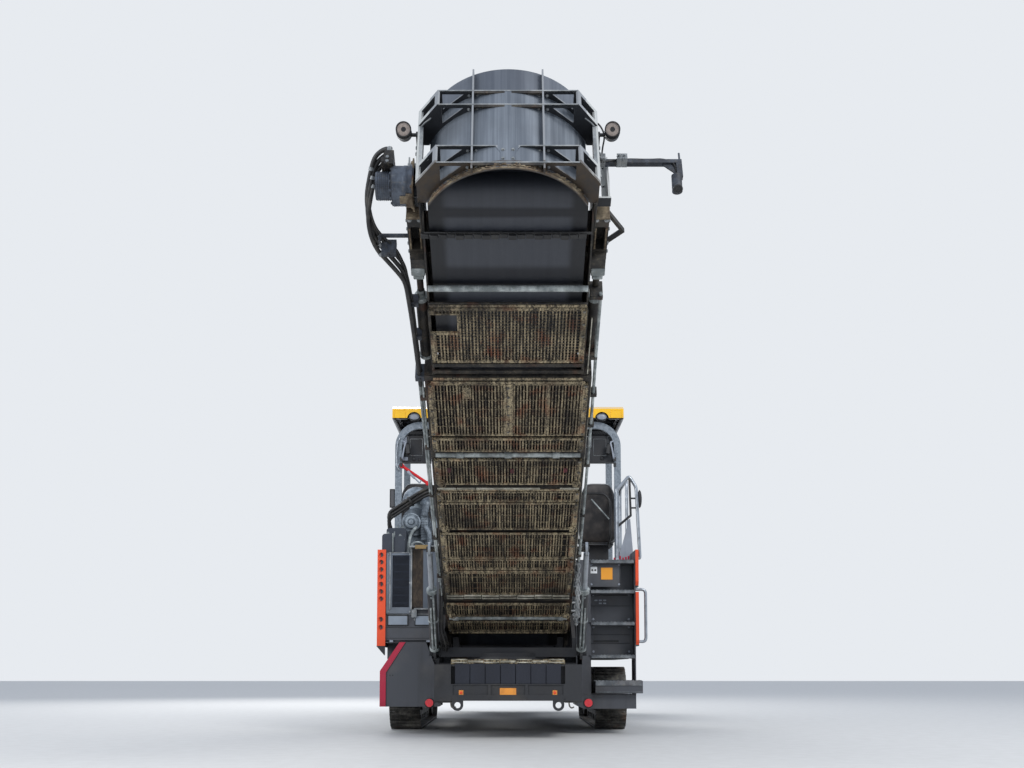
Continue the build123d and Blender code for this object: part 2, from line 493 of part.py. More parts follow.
arches = [Pos(roof_x0, y, roof_low) * Rot(0, 90, 0) * Cylinder(arch_r, 200) for y in (-roof_lamp_y, roof_lamp_y)]
roof_feet = [block(x - 50, x + 50, y - 60, y + 60, hoop_top + seat_gap, roof_low + 160) for x in hoop_xs
             for y in (-700, 700)]
save("roof", fused(roof - arches, *roof_feet))
lamp_face = SlotOverall(2 * roof_lamp_r + 10, 1.3 * roof_lamp_r)
roof_lamp = fused(Pos(roof_x0 + 45, roof_lamp_y, roof_low + 36) * extrude(Plane.YZ * lamp_face, 90, dir=(1, 0, 0)),
                  block(roof_x0 + 133, roof_x0 + 150, roof_lamp_y - 15, roof_lamp_y + 15, roof_low + 20,
                        roof_low + 157 - seat_gap))
save("roof_lamps", *left_right(roof_lamp))

# Handrails: galvanised tube at the sides of the platform and the ladder
rail_r = 19
rail_top = 2970
guard_y = -body_half - door_t - seat_gap
grab_x = rear_x + 60
rail_runs = [
    [(grab_x, guard_y + 231, 1963), (grab_x, guard_y + 231, rail_top - 197), (grab_x, guard_y + 92, rail_top - 34),
     (grab_x, guard_y + 12, rail_top - 162), (grab_x, guard_y - 25, 1990), (grab_x, guard_y - seat_gap, 1990)],
    [(-100, 35 - body_half, floor_z), (-100, 35 - body_half, rail_top), (800, 35 - body_half, rail_top),
     (800, 35 - body_half, floor_z)],
    [(400, 740, floor_z), (400, 740, rail_top - 60), (400, 300, rail_top - 60), (400, 300, 2124.9)],
]
ladder_rail = pipe([(rear_x + 20, guard_y - seat_gap, 1040), (rear_x + 20, guard_y - 80, 1040),
                    (rear_x + 20, guard_y - 80, 1630), (rear_x + 20, -body_half - seat_gap, 1630)], 17)
save("handrails", *[pipe(run, rail_r) for run in rail_runs], ladder_rail)

# Turntable: it carries the discharge conveyor on the slewing ring
ring_r, ring_z = 440, deck_z + 80
plate_z = ring_z + 40
arm_y0, arm_y1 = 685, 725
save("slew_ring", Pos(slew_x, 0, (deck_z + ring_z) / 2) * Cylinder(ring_r, ring_z - deck_z))
turn_plate = Pos(slew_x, 0, (ring_z + plate_z) / 2 + seat_gap / 2) * Cylinder(ring_r, plate_z - ring_z - seat_gap)
cross_box = block(slew_x - 330, slew_x - 60, -arm_y1, arm_y1, ring_z + seat_gap, plate_z + 60)
arm = from_side([(slew_x - 330, ring_z + seat_gap), (slew_x + 60, ring_z + seat_gap), (hinge_x + 80, hinge_z - 60),
                 (hinge_x + 80, hinge_z + 80), (hinge_x - 80, hinge_z + 80), (slew_x - 330, plate_z + 160)],
                arm_y0, arm_y1)
hinge_r = 40
arm = arm - Pos(hinge_x, (arm_y0 + arm_y1) / 2, hinge_z) * Rot(90, 0, 0) * Cylinder(hinge_r + 0.5, 200)
lift_foot_x, lift_foot_z = -1450, 900
lift_y = 782
lift_pin_r = 28
foot_pin = Pos(lift_foot_x, lift_y, lift_foot_z) * Rot(90, 0, 0) * Cylinder(lift_pin_r, 2 * (lift_y - arm_y1) + 1)
foot_boss = block(lift_foot_x - 50, lift_foot_x + 50, arm_y1 - 1, arm_y1 + 6, lift_foot_z - 40 + 5, lift_foot_z + 50)
save("turntable", fused(turn_plate, cross_box, *left_right(arm), *left_right(foot_pin), *left_right(foot_boss)))

# Discharge conveyor frame
at_conveyor = Pos(hinge_x, 0, hinge_z) * Rot(0, incline, 0)


def rest_line(x, z):
    """A point of the raised conveyor, in the level frame it is modelled in."""
    dx, dz, a = x - hinge_x, z - hinge_z, radians(incline)
    return dx * cos(a) - dz * sin(a), dx * sin(a) + dz * cos(a)


tail_low = rest_line(-600, 845)
tail_high = rest_line(-610, 1340)
web_y = lower_half - 40
lower_web = from_side([(150, frame_bottom), tail_low, tail_high, (-lower_end_s, frame_top),
                       (-lower_end_s, frame_bottom)], web_y, web_y + steel)
flanges = [block(-lower_end_s, tail_high[0] if z > 0 else 150, web_y, lower_half, min(z, z - 14 * (z > 0)),
                 max(z, z + 14 * (z < 0))) for z in (frame_top, frame_bottom)]
stiffeners = [block(-s - steel, -s, web_y, lower_half, frame_bottom, frame_top) for s in range(200, int(lower_end_s) - 28, 480)]
hinge_boss = Pos(0, web_y + 20, 0) * Rot(90, 0, 0) * Cylinder(90, 39)
hinge_pin = Pos(0, (web_y + arm_y1) / 2 + 5, 0) * Rot(90, 0, 0) * Cylinder(hinge_r, arm_y1 - web_y + 10)
lower_side = fused(lower_web, *flanges, *stiffeners, hinge_boss, hinge_pin)
cross_bars = [bar((-s, -web_y - 2, n), (-s, web_y + 2, n), 24) for s, n in ((498 * stretch, -205), (3530 * stretch, -205))]
cross_plates = [block(-s1, -s0, -web_y - 2, web_y + 2, n, n + 24) for s0, s1, n in
                ((880 * stretch, 1000 * stretch, frame_bottom), (3000 * stretch, 3040 * stretch, frame_bottom),
                 (lower_end_s - 68, lower_end_s - 8, frame_bottom))]
foot_bar = Pos(tail_low[0] - 20, 0, tail_low[1] + 20) * Box(40, 2 * web_y + 4, 24)
inner_ties = [block(-s - 40, -s, -web_y - 2, web_y + 2, -40, 20) for s in (900 * stretch, 2100 * stretch, 3300 * stretch, 4500 * stretch)]
slider_top, slider_t = 28, 10      # the plate between the belt's two runs
slider = block(-lower_end_s + 28, 100, -web_y - 2, web_y + 2, slider_top - slider_t, slider_top)
eye_s, eye_n = rest_line(-2519, 1920)
lift_lug = Pos(eye_s, (lower_half + lift_y + 30) / 2 - 5, eye_n) * Rot(90, 0, 0) * Cylinder(
    lift_pin_r, lift_y + 30 - lower_half + 10)
lug_boss = block(eye_s - 70, eye_s + 70, web_y, lower_half + 20, eye_n - 70, eye_n + 70)
save("conveyor_frame_lower", at_conveyor * fused(*left_right(lower_side), *cross_bars, *cross_plates, foot_bar,
                                                 *inner_ties, slider, *left_right(lift_lug), *left_right(lug_boss)))

upper_top, upper_bottom = 150, -200
hood_edge_s = head_s + head_drum_r + belt_t + hood_clear
head_end_s = hood_edge_s - 20
upper_slider = block(-head_s + head_drum_r + belt_t + 15, -lower_end_s - 14, 2 - upper_half, upper_half - 2,
                     slider_top - slider_t, slider_top)
upper_web = from_side([(-lower_end_s, upper_bottom), (-lower_end_s, upper_top), (-head_end_s, upper_top),
                       (-head_end_s, -90), (485 - head_s, upper_bottom)], upper_half - steel, upper_half)
upper_flange = [block(-lower_end_s - 772, -lower_end_s, upper_half - steel, upper_half + 8, z, z + 12)
                for z in (upper_bottom, upper_top - 12)]
joint_plate = block(-lower_end_s - 12, -lower_end_s, upper_half - steel, lower_half, upper_bottom, upper_top)
upper_bars = [bar((-s, -upper_half + 2, n), (-s, upper_half - 2, n), r) for s, n, r in ((lower_end_s + 1020, -216, 22), (lower_end_s + 847, -208, 14))]
upper_ties = [block(-s - 40, -s, -upper_half + 2, upper_half - 2, -40, 20)
              for s in (lower_end_s + 472, head_s - 585)]
upper_plates = [block(-s1, -s0, -upper_half + 2, upper_half - 2, frame_bottom, frame_bottom + 14)
                for s0, s1 in ((lower_end_s + 22, lower_end_s + 62), (lower_end_s + 107, lower_end_s + 147))]
save("conveyor_frame_upper", at_conveyor * fused(*left_right(upper_web), *left_right(joint_plate),
                                                 *[f for z in upper_flange for f in left_right(z)],
                                                 *upper_bars, *upper_ties, *upper_plates, upper_slider))

# Belt and drums
belt_length = head_s - tail_s
belt_middle = Pos(-(head_s + tail_s) / 2, 0, 0)
belt_outline = make_hull([Pos(-head_s, 0) * Circle(head_drum_r + belt_t).edge(),
                          Pos(-tail_s, 0) * Circle(tail_drum_r + belt_t).edge()])
belt_inside = make_hull([Pos(-head_s, 0) * Circle(head_drum_r).edge(), Pos(-tail_s, 0) * Circle(tail_drum_r).edge()])
belt = Pos(0, belt_half, 0) * extrude(Plane.XZ * (belt_outline - belt_inside), 2 * belt_half)
save("conveyor_belt", at_conveyor * belt)
drum_half = upper_half - steel - seat_gap
drum_wall = 14


def hollow_drum(s, r, shaft_r, shaft_half):
    """A drum with a shaft, closed at its ends by discs."""
    shell = Cylinder(r - seat_gap, 2 * belt_half) - Cylinder(r - drum_wall, 2 * belt_half - 2 * drum_wall)
    return Pos(-s, 0, 0) * Rot(90, 0, 0) * (shell + Cylinder(shaft_r, 2 * shaft_half))


save("conveyor_drums", at_conveyor * hollow_drum(head_s, head_drum_r, 50, drum_half),
     at_conveyor * hollow_drum(tail_s, tail_drum_r, 45, web_y - seat_gap))

# Guards under the belt: frames with bars along the conveyor
guard_t = 22
guard_bar = 26
guard_pitch = 80


def guard(s0, s1, half, top):
    """A barred guard between two stations, with a plate round its rim."""
    inner = half - 60
    rim = block(-s1, -s0, -half, half, top - guard_t, top) - block(-s1 + 30, -s0 - 30, -inner, inner,
                                                                   top - guard_t - 1, top + 1)
    count = int(2 * inner / guard_pitch)
    step = 2 * inner / count
    bars = [block(-s1 + 25, -s0 - 25, y - guard_bar / 2, y + guard_bar / 2, top - guard_t, top)
            for y in [(i - (count - 1) / 2) * step for i in range(count)]]
    return fused(rim, *bars)


lower_guards = [(218, 440), (566, 834), (1050, 1506), (1566, 1763), (1783, 2252), (2325, 2790), (2812, 2978),
                (3092, 3484), (3604, 3800), (3839, 4550)]
guards = [guard(s0 * stretch, s1 * stretch, lower_half - 20, frame_bottom - seat_gap) for s0, s1 in lower_guards]
upper_guard_top = upper_bottom - seat_gap
upper_guard_s0, upper_guard_s1 = lower_end_s + 172, lower_end_s + 814
notch_s0, notch_s1, notch_y, notch_rim = upper_guard_s0 + 359, upper_guard_s0 + 564, upper_half - 212, 20
notch_edge = block(-notch_s1 - notch_rim, -notch_s0 + notch_rim, notch_y - notch_rim, upper_half - 52, upper_guard_top - guard_t,
                   upper_guard_top)
notch = block(-notch_s1, -notch_s0, notch_y, upper_half + 3, upper_guard_top - guard_t - 1, upper_guard_top + 1)
guards.append(fused(guard(upper_guard_s0, upper_guard_s1, upper_half - 2, upper_guard_top), notch_edge) - fillet(notch.edges().filter_by(Axis.Z), 25))
save("guards", *[at_conveyor * g for g in guards])

# Foot hopper: the box that catches what the feed conveyor throws
foot_half, foot_wall = 645, 10
foot_x0, foot_x1, foot_low, foot_high = -1540, -612, 1345, 1600
foot_hopper = (block(foot_x0, foot_x1, -foot_half, foot_half, foot_low, foot_high)
               - block(foot_x0 + foot_wall, foot_x1 - foot_wall, foot_wall - foot_half, foot_half - foot_wall,
                       foot_low - 1, foot_high + 1))
foot_hopper = foot_hopper - at_conveyor * block(-3000, 1000, -700, 700, -400, frame_top + seat_gap)
save("foot_hopper", foot_hopper)

# Head: side beams with take-up, blocks and tension cylinders
head_beam_s0, head_beam_s1 = head_s - 535, head_s - 135
head_beam_y = upper_half + 112
head_beam = block(-head_beam_s1, -head_beam_s0, upper_half + seat_gap, head_beam_y, -110, 60)
head_beam = head_beam - block(-head_beam_s1 + 90, -head_beam_s0 - 90, upper_half + 28, head_beam_y - 24, -111, 0)
end_block = block(-head_beam_s0 - 68, -head_beam_s0 + 30, upper_half + seat_gap, head_beam_y - 9, -190, -105)
takeup_y, takeup_s0, takeup_s1 = upper_half + 58, lower_end_s + 72, head_beam_s0 - 450
takeup = [bar((-takeup_s0, takeup_y, -60), (-takeup_s1, takeup_y, -60), 45),
          bar((-takeup_s1, takeup_y, -60), (-head_beam_s0, takeup_y, -60), 25)]
strut_face = Polygon((0, 0), (-200, 133), (-330, 0), (-305, 0), (-200, 107), (-40, 0), align=None)
strut = Pos(-head_beam_s1 + 60, 4 - head_beam_y, 10) * mirror(extrude(strut_face, 40, dir=(0, 0, 1)), about=Plane.YZ)
strut = mirror(strut, about=Plane.XZ.offset(head_beam_y - 4))
save("head_beams", at_conveyor * fused(head_beam, end_block, *takeup),
     at_conveyor * fused(*[mirror(piece, about=Plane.XZ) for piece in (head_beam, end_block, *takeup)], strut))

# Discharge hood: a half-round wall in two frames of plate, square to the conveyor at its head
hood_r, hood_t = upper_half + 3, 10
nose_s = head_s + hood_reach
hood_centre_s = nose_s - hood_r
hood_low, hood_high = -337, 623
corner_s, corner_half, flat_half = nose_s - 184, upper_half + 8, upper_half - 132
arm_s = head_end_s + 2
ring_t = 10
hood_disc = Pos(-hood_centre_s, 0) * Circle(hood_r)
beyond_edge = Pos(-hood_edge_s - 400, 0) * Rectangle(800, 1400)
hood_wall = (hood_disc - Pos(-hood_centre_s, 0) * Circle(hood_r - hood_t)) & beyond_edge
hood_shell = Pos(0, 0, hood_low) * extrude(hood_wall, hood_high - hood_low, dir=(0, 0, 1))
hood_roof = Pos(0, 0, hood_high - 8) * extrude(Pos(-hood_centre_s, 0) * Circle(hood_r - 2) & beyond_edge, 8, dir=(0, 0, 1))
ring_plan = Polygon((-arm_s, -corner_half), (-corner_s, -corner_half), (-nose_s, -flat_half), (-nose_s, flat_half),
                    (-corner_s, corner_half), (-arm_s, corner_half), align=None)
window_y0, window_y1 = 300, 445
window = [Polygon((-nose_s + 28, sign * window_y0), (-nose_s + 28, sign * window_y1), (-nose_s + 155, sign * window_y1),
                  align=None) for sign in (-1, 1)]
ring_sketch = ring_plan - Pos(-hood_centre_s, 0) * Circle(hood_r - 2) - window
ring_heights = [(-287, -133), (265, 401)]
rings = [Pos(0, 0, n) * extrude(ring_sketch, ring_t, dir=(0, 0, 1)) for pair in ring_heights for n in pair]
rib_y = 236
rib_s = hood_centre_s + sqrt((hood_r - 4) ** 2 - rib_y ** 2)
ribs = left_right(block(-nose_s, -rib_s, rib_y - 6, rib_y + 6, hood_low, hood_high))
nose_plate = from_rear([(-48, ring_heights[0][0]), (48, ring_heights[0][0]), (48, -190), (80, ring_heights[0][1]),
                        (-80, ring_heights[0][1]), (-48, -190)], -nose_s, -nose_s + 10)
corner_posts = left_right(block(-corner_s - 6, -corner_s + 14, corner_half - 14, corner_half + 6, -287, 411))


def corner_plate(n0, n1):
    """A slotted plate on the slanted corner between two rings."""
    run = Vector(-nose_s, flat_half) - Vector(-corner_s, corner_half)
    at = Plane(origin=(-corner_s, corner_half, n0), x_dir=run, z_dir=run.cross(Vector(0, 0, 1)))
    face = Rectangle(run.length, n1 - n0, align=Align.MIN) - Pos(run.length / 2, (n1 - n0) / 2) * Rectangle(
        run.length - 70, n1 - n0 - 60)
    return extrude(at * face, 8, both=True)


corner_plates = [p for low, high in ring_heights for p in left_right(corner_plate(low, high + ring_t))]
side_post_s, side_post_y = head_s + 15, upper_half + 43
side_post = block(-side_post_s - 70, -side_post_s, upper_half + seat_gap, side_post_y, 62, 411)
post_ties = [block(-arm_s - 10, -side_post_s, upper_half + seat_gap, corner_half, n, n + ring_t) for n in ring_heights[1]]
hood_feet = [block(-arm_s - 10, -head_end_s + 120, upper_half + seat_gap, corner_half + 10, -133, -133 + ring_t)]
save("discharge_hood", at_conveyor * fused(hood_shell, hood_roof, *rings, *ribs, nose_plate, *corner_posts, *corner_plates,
                                           *left_right(side_post), *[p for t in post_ties + hood_feet for p in left_right(t)]))

# Belt drive at the head's left: bearing, gearbox and motor, with the manifold that its hoses come from
drive_s, drive_n, drive_r = head_s + 15, 40, 135
bearing_y, gearbox_y, motor_y = upper_half + 49, upper_half + 203, upper_half + 317
manifold_n = drive_n + 190
drive = fused(bar((-head_s, upper_half + seat_gap, 0), (-head_s, bearing_y + 5, 0), 60),
              bar((-drive_s, bearing_y, drive_n), (-drive_s, gearbox_y + 1, drive_n), drive_r),
              bar((-drive_s, gearbox_y, drive_n), (-drive_s, motor_y, drive_n), 95),
              block(-drive_s - 150, -drive_s + 20, gearbox_y - 10, gearbox_y + 50, drive_n + 60, manifold_n))
save("belt_drive", at_conveyor * drive)

# Hoses of the belt drive: up from the manifold, round the outside and down along the frame's left side
hose_r = 17
hose_line = [(130, 20, manifold_n + seat_gap), (130, 20, 275), (100, 80, 285), (60, 135, 255), (-20, 165, 180),
             (-140, 198, 95), (-250, 190, 20), (-360, 150, -30), (-440, 80, -62), (-530, 15, -80), (-630, -43, -95),
             (-830, -55, -105), (-1050, -65, -105), (-1540, -78, -105), (-1830, -84, -105)]


def drive_hose(i):
    """One hose on the common line, whose rows are the way past the drive, across and up; each runs a little lower."""
    points = []
    for k, (ahead, across, n) in enumerate(hose_line):
        lower = 14 * i * min(max(k - 1, 0), 3)
        points.append((46 * i - drive_s - ahead, gearbox_y + across - (3 * i if k > 1 else 0), n - lower))
    return pipe(points, hose_r)


hose_clamp = block(-lower_end_s + 8, -lower_end_s + 68, lower_half + seat_gap, lower_half + 72, -215, -80)
save("head_hoses", at_conveyor * fused(hose_clamp, *[drive_hose(i) for i in range(3)]))

# Lamps on the hood's side posts, and the camera on its arm to the right
lamp_s, lamp_n, lamp_y = side_post_s + 158, 373, side_post_y + 82
lamp_bell_r = 54
lamp_bracket = block(-lamp_s - 10, -side_post_s - 68, side_post_y - 20, side_post_y, lamp_n - 20, lamp_n + 20)
lamp_stem = block(-lamp_s - 10, -lamp_s + 10, side_post_y - 20, lamp_y, lamp_n - 8, lamp_n + 8)
head_lamp = Pos(-lamp_s - 20, lamp_y, lamp_n) * Rot(0, 90 - incline - 10, 0) * Cylinder(lamp_bell_r, 75)
lamp = at_conveyor * fused(Pos(-seat_gap - 2, 0, 0) * lamp_bracket, lamp_stem, head_lamp)
save("head_lamps", *left_right(lamp))
camera_n = 237
camera_s, camera_y = side_post_s + 10, -side_post_y - 572
camera_arm = fused(block(-camera_s - 40, -camera_s, camera_y, -side_post_y - seat_gap, camera_n - 17, camera_n + 17),
                   block(-camera_s - 40, -camera_s, camera_y, camera_y + 40, camera_n - 150, camera_n + 17),
                   block(-camera_s - 35, -camera_s - 5, camera_y + 12, camera_y + 62, camera_n - 190, camera_n - 140),
                   Pos(-camera_s - 30, camera_y + 47, camera_n - 215) * Rot(0, -10, 0) * Cylinder(36, 130),
                   from_rear([(camera_y + 38, camera_n - 15), (camera_y + 142, camera_n - 15), (camera_y + 38, camera_n - 120)],
                             -camera_s - 24, -camera_s - 16),
                   bar((-camera_s - 20, camera_y + 12, camera_n), (-camera_s - 20, camera_y + 12, camera_n + 95), 7))
save("camera_arm", at_conveyor * camera_arm)

# Lift cylinders, one each side of the conveyor
lift_dx, lift_dz = -2519 - lift_foot_x, 1920 - lift_foot_z
lift_length = hypot(lift_dx, lift_dz)
lift_dir = Vector(lift_dx / lift_length, 0, lift_dz / lift_length)
barrel_r, rod_r, piston_r = 48, 28, 36
eye_w = 26


def along_lift(d):
    return (lift_foot_x + lift_dir.X * d, lift_y, lift_foot_z + lift_dir.Z * d)


def eye(centre, outer, inner):
    disc = Pos(*centre) * Rot(90, 0, 0) * Cylinder(outer, eye_w)
    return disc - Pos(*centre) * Rot(90, 0, 0) * Cylinder(inner, eye_w + 2)


barrel = fused(bar(along_lift(60), along_lift(930), barrel_r), Pos(*along_lift(0)) * Rot(90, 0, 0) * Cylinder(66, eye_w))
barrel = barrel - bar(along_lift(130), along_lift(931), piston_r + 0.5)
barrel = barrel - Pos(*along_lift(0)) * Rot(90, 0, 0) * Cylinder(lift_pin_r + 0.4, eye_w + 60)
lift_eye_hole = lift_pin_r + 14
lift_rod = fused(bar(along_lift(400), along_lift(470), piston_r), bar(along_lift(470), along_lift(lift_length - 50), rod_r),
                 Pos(*along_lift(lift_length)) * Rot(90, 0, 0) * Cylinder(70, eye_w))
lift_rod = lift_rod - Pos(*along_lift(lift_length)) * Rot(90, 0, 0) * Cylinder(lift_eye_hole, eye_w + 60)
for side, sign in for_side.items():
    save(f"lift_barrel_{side}", barrel if sign > 0 else mirror(barrel, about=Plane.XZ))
    save(f"lift_rod_{side}", lift_rod if sign > 0 else mirror(lift_rod, about=Plane.XZ))
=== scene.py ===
"""Material transfer vehicle on tracks: finishes and small pieces over its frame of solids.

Metres, in the frame of the solids: +X is the hopper end, +Y the left side, +Z up, and the ground is z = 0. A shape is
a pair: corner points, and groups of faces. What is on the conveyor is written for the level conveyor, as (s, y, n)
with s up along its belt and n square to it, and raised by the incline when it is put.
"""
import math

import bmesh
import bpy
import numpy as np
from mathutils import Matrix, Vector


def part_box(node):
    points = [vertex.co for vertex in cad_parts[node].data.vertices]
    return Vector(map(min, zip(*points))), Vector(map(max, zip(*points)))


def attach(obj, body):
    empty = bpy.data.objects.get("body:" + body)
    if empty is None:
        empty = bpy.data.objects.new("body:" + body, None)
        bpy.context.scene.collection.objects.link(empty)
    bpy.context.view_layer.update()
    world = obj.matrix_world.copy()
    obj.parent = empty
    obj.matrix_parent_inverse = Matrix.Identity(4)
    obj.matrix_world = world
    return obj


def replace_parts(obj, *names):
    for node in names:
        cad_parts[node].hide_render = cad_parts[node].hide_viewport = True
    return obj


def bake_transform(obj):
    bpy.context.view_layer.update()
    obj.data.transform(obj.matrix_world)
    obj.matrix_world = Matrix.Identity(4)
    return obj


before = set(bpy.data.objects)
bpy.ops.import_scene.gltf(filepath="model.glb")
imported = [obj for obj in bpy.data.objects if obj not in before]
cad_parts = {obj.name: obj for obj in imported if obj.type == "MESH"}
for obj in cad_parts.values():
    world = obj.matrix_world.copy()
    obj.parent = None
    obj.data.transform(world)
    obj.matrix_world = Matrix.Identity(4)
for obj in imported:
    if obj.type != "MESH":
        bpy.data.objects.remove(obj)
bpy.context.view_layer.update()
scene = bpy.context.scene


def linked(name, data, location=(0, 0, 0), rotation=(0, 0, 0)):
    """An object with that data, linked to the scene."""
    thing = bpy.data.objects.new(name, data)
    thing.location, thing.rotation_euler = location, rotation
    scene.collection.objects.link(thing)
    return thing


# ---------------------------------------------------------------------------
# View: a camera near the ground behind the discharge conveyor, pitched up a
# little, on a pale floor under soft lamps and a pale sky.
picture_width = 1024
camera_data = bpy.data.cameras.new("view")
camera_data.lens, camera_data.sensor_width, camera_data.clip_end = 45.35, 36.0, 200.0
camera_data.shift_x, camera_data.shift_y = 4 / picture_width, 160 / picture_width
scene.camera = linked("view", camera_data, (-15.31, 0.0, 0.74), (math.radians(90 + 5.5), 0.0, math.radians(-90)))
scene.view_settings.view_transform = "Standard"

world = bpy.data.worlds.new("sky")
scene.world = world
world.use_nodes = True
sky_nodes, sky_links = world.node_tree.nodes, world.node_tree.links
sky_nodes.clear()
seen, lit = sky_nodes.new("ShaderNodeBackground"), sky_nodes.new("ShaderNodeBackground")
seen.inputs["Color"].default_value = (0.80, 0.83, 0.87, 1)
lit.inputs["Color"].default_value = (0.78, 0.86, 1.0, 1)
lit.inputs["Strength"].default_value = 0.85
ray, either = sky_nodes.new("ShaderNodeLightPath"), sky_nodes.new("ShaderNodeMixShader")
sky_links.new(ray.outputs["Is Camera Ray"], either.inputs[0])
sky_links.new(lit.outputs[0], either.inputs[1])
sky_links.new(seen.outputs[0], either.inputs[2])
sky_links.new(either.outputs[0], sky_nodes.new("ShaderNodeOutputWorld").inputs[0])

for name, stand, aim, size, power in (("key", (-14, -9, 13), (-2, 0, 2), 6, 1500),
                                      ("left_fill", (-12, 11, 6), (-2, 0, 2), 7, 650),
                                      ("front_fill", (13, 4, 9), (3, 0, 1), 7, 900)):
    lamp_data = bpy.data.lights.new(name, "AREA")
    lamp_data.size, lamp_data.energy = size, power
    way = np.array(aim, float) - np.array(stand, float)
    linked(name, lamp_data, stand,
           (math.atan2(math.hypot(way[0], way[1]), -way[2]), 0, math.atan2(-way[0], way[1])))


class Reading:
    """A value socket of one finish. Sums, products, powers and comparisons of it add Math nodes."""

    def __init__(self, finish, socket):
        self.finish, self.socket = finish, socket

    def maths(self, operation, other):
        return self.finish.node("ShaderNodeMath", {"operation": operation}, {0: self, 1: other})

    def __add__(self, other):
        return self.maths("ADD", other)

    def __sub__(self, other):
        return self.maths("SUBTRACT", other)

    def __mul__(self, other):
        return self.maths("MULTIPLY", other)

    def __pow__(self, other):
        return self.maths("POWER", other)

    def __gt__(self, other):
        return self.maths("GREATER_THAN", other)

    def __lt__(self, other):
        return self.maths("LESS_THAN", other)

    def step(self, low, high):
        """0 below low and 1 above high, with a smooth rise between."""
        return self.finish.node("ShaderNodeMapRange", {"interpolation_type": "SMOOTHSTEP"},
                                {"Value": self, "From Min": low, "From Max": high})


class Finish:
    """The nodes of one surface finish, on Object coordinates."""

    def __init__(self, name, metallic=0.0, rough=0.5, **sockets):
        self.material = bpy.data.materials.new(name)
        self.material.use_nodes = True
        self.tree = self.material.node_tree
        self.tree.nodes.clear()
        self.shader = self.tree.nodes.new("ShaderNodeBsdfPrincipled")
        self.tree.links.new(self.shader.outputs[0], self.tree.nodes.new("ShaderNodeOutputMaterial").inputs[0])
        self.feed(Metallic=metallic, Roughness=rough, **sockets)
        self.place = self.node("ShaderNodeTexCoord", out="Object")
        self.facing = self.node("ShaderNodeNewGeometry", out="Normal")
        self.x, self.y, self.z = (self.part(self.place, i) for i in range(3))
        self.up = self.part(self.facing, 2)

    def join(self, socket, value):
        """Links a reading to a socket, or sets its value, a colour with full alpha."""
        if isinstance(value, Reading):
            self.tree.links.new(value.socket, socket)
        else:
            socket.default_value = (*value, 1) if socket.type == "RGBA" else value

    def node(self, kind, settings=None, inputs=None, out=0):
        """A node of that kind, with its settings first and then the values or links of its sockets."""
        made = self.tree.nodes.new(kind)
        for key, value in (settings or {}).items():
            setattr(made, key, value)
        for key, value in (inputs or {}).items():
            self.join(made.inputs[key], value)
        return Reading(self, made.outputs[out])

    def part(self, vector, axis):
        """One of the three components of a vector."""
        return self.node("ShaderNodeSeparateXYZ", {}, {0: vector}, out=axis)

    def feed(self, **sockets):
        """Values or links for the shader's own sockets, with _ for a space in their names."""
        for key, value in sockets.items():
            self.join(self.shader.inputs[key.replace("_", " ")], value)

    def over(self, *coats):
        """Lays colours over the base colour so far, each by its share."""
        for share, colour in coats:
            below = Reading(self, self.shader.inputs["Base Color"].links[0].from_socket)
            self.feed(Base_Color=self.mix(share, below, colour))

    def noise(self, scale, detail=4.0, stretch=(1, 1, 1), rough=0.55, place=None):
        """Fractal noise of the place, its cells stretched where a factor is small."""
        at = self.node("ShaderNodeVectorMath", {"operation": "MULTIPLY"}, {0: place or self.place, 1: stretch})
        return self.node("ShaderNodeTexNoise", {},
                         {"Vector": at, "Scale": scale, "Detail": detail, "Roughness": rough})

    def cells(self, scale, out="Distance"):
        """Cell noise of the place."""
        return self.node("ShaderNodeTexVoronoi", {}, {"Vector": self.place, "Scale": scale}, out=out)

    def tilted(self):
        """The place in axes tilted with the conveyor."""
        return self.node("ShaderNodeMapping", {"vector_type": "TEXTURE"},
                         {"Vector": self.place, "Rotation": (0.0, incline, 0.0)})

    def mix(self, share, first, second):
        """The first colour where share is 0 and the second where it is 1."""
        return self.node("ShaderNodeMix", {"data_type": "RGBA"}, {0: share, 6: first, 7: second}, out=2)

    def bump(self, height, distance=0.002, strength=0.5):
        """A normal from a height field."""
        self.feed(Normal=self.node("ShaderNodeBump", {},
                                   {"Height": height, "Distance": distance, "Strength": strength}))


def tone(red, green, blue):
    """A colour written as screen values of 0 to 255, made linear by the screen's own curve."""
    part = np.array([red, green, blue]) / 255
    return tuple(float(v) for v in np.where(part > 0.04045, ((part + 0.055) / 1.055) ** 2.4, part / 12.92))


def mottled(name, first, second, scale, detail=5.0, step=None, stretch=(1, 1, 1), grain=None, **sockets):
    """A finish between two colours by one noise, through a smooth step if one is given; grain is (scale, detail,
    distance, strength) of its bumps."""
    finish = Finish(name, **sockets)
    mask = finish.noise(scale, detail, stretch)
    finish.feed(Base_Color=finish.mix(mask.step(*step) if step else mask, first, second))
    if grain:
        finish.bump(finish.noise(*grain[:2]), *grain[2:])
    return finish


floor_finish = mottled("pale_concrete", tone(196, 194, 190), tone(212, 211, 208), 6.0, 8.0, rough=0.9,
                       grain=(60.0, 4.0, 0.003, 0.3))
floor = linked("floor", bpy.data.meshes.new("floor"))
floor.data.from_pydata([(-60, -60, 0), (60, -60, 0), (60, 60, 0), (-60, 60, 0)], [], [(0, 1, 2, 3)])
floor.data.materials.append(floor_finish.material)

# ---------------------------------------------------------------------------
# Painted plate: charcoal satin paint over folded and welded sheet, dulled by
# road dust that lies on what faces up and by faint streaks down the sides.
incline = math.radians(25.74)
hinge_x, hinge_z = -0.9, 1.25


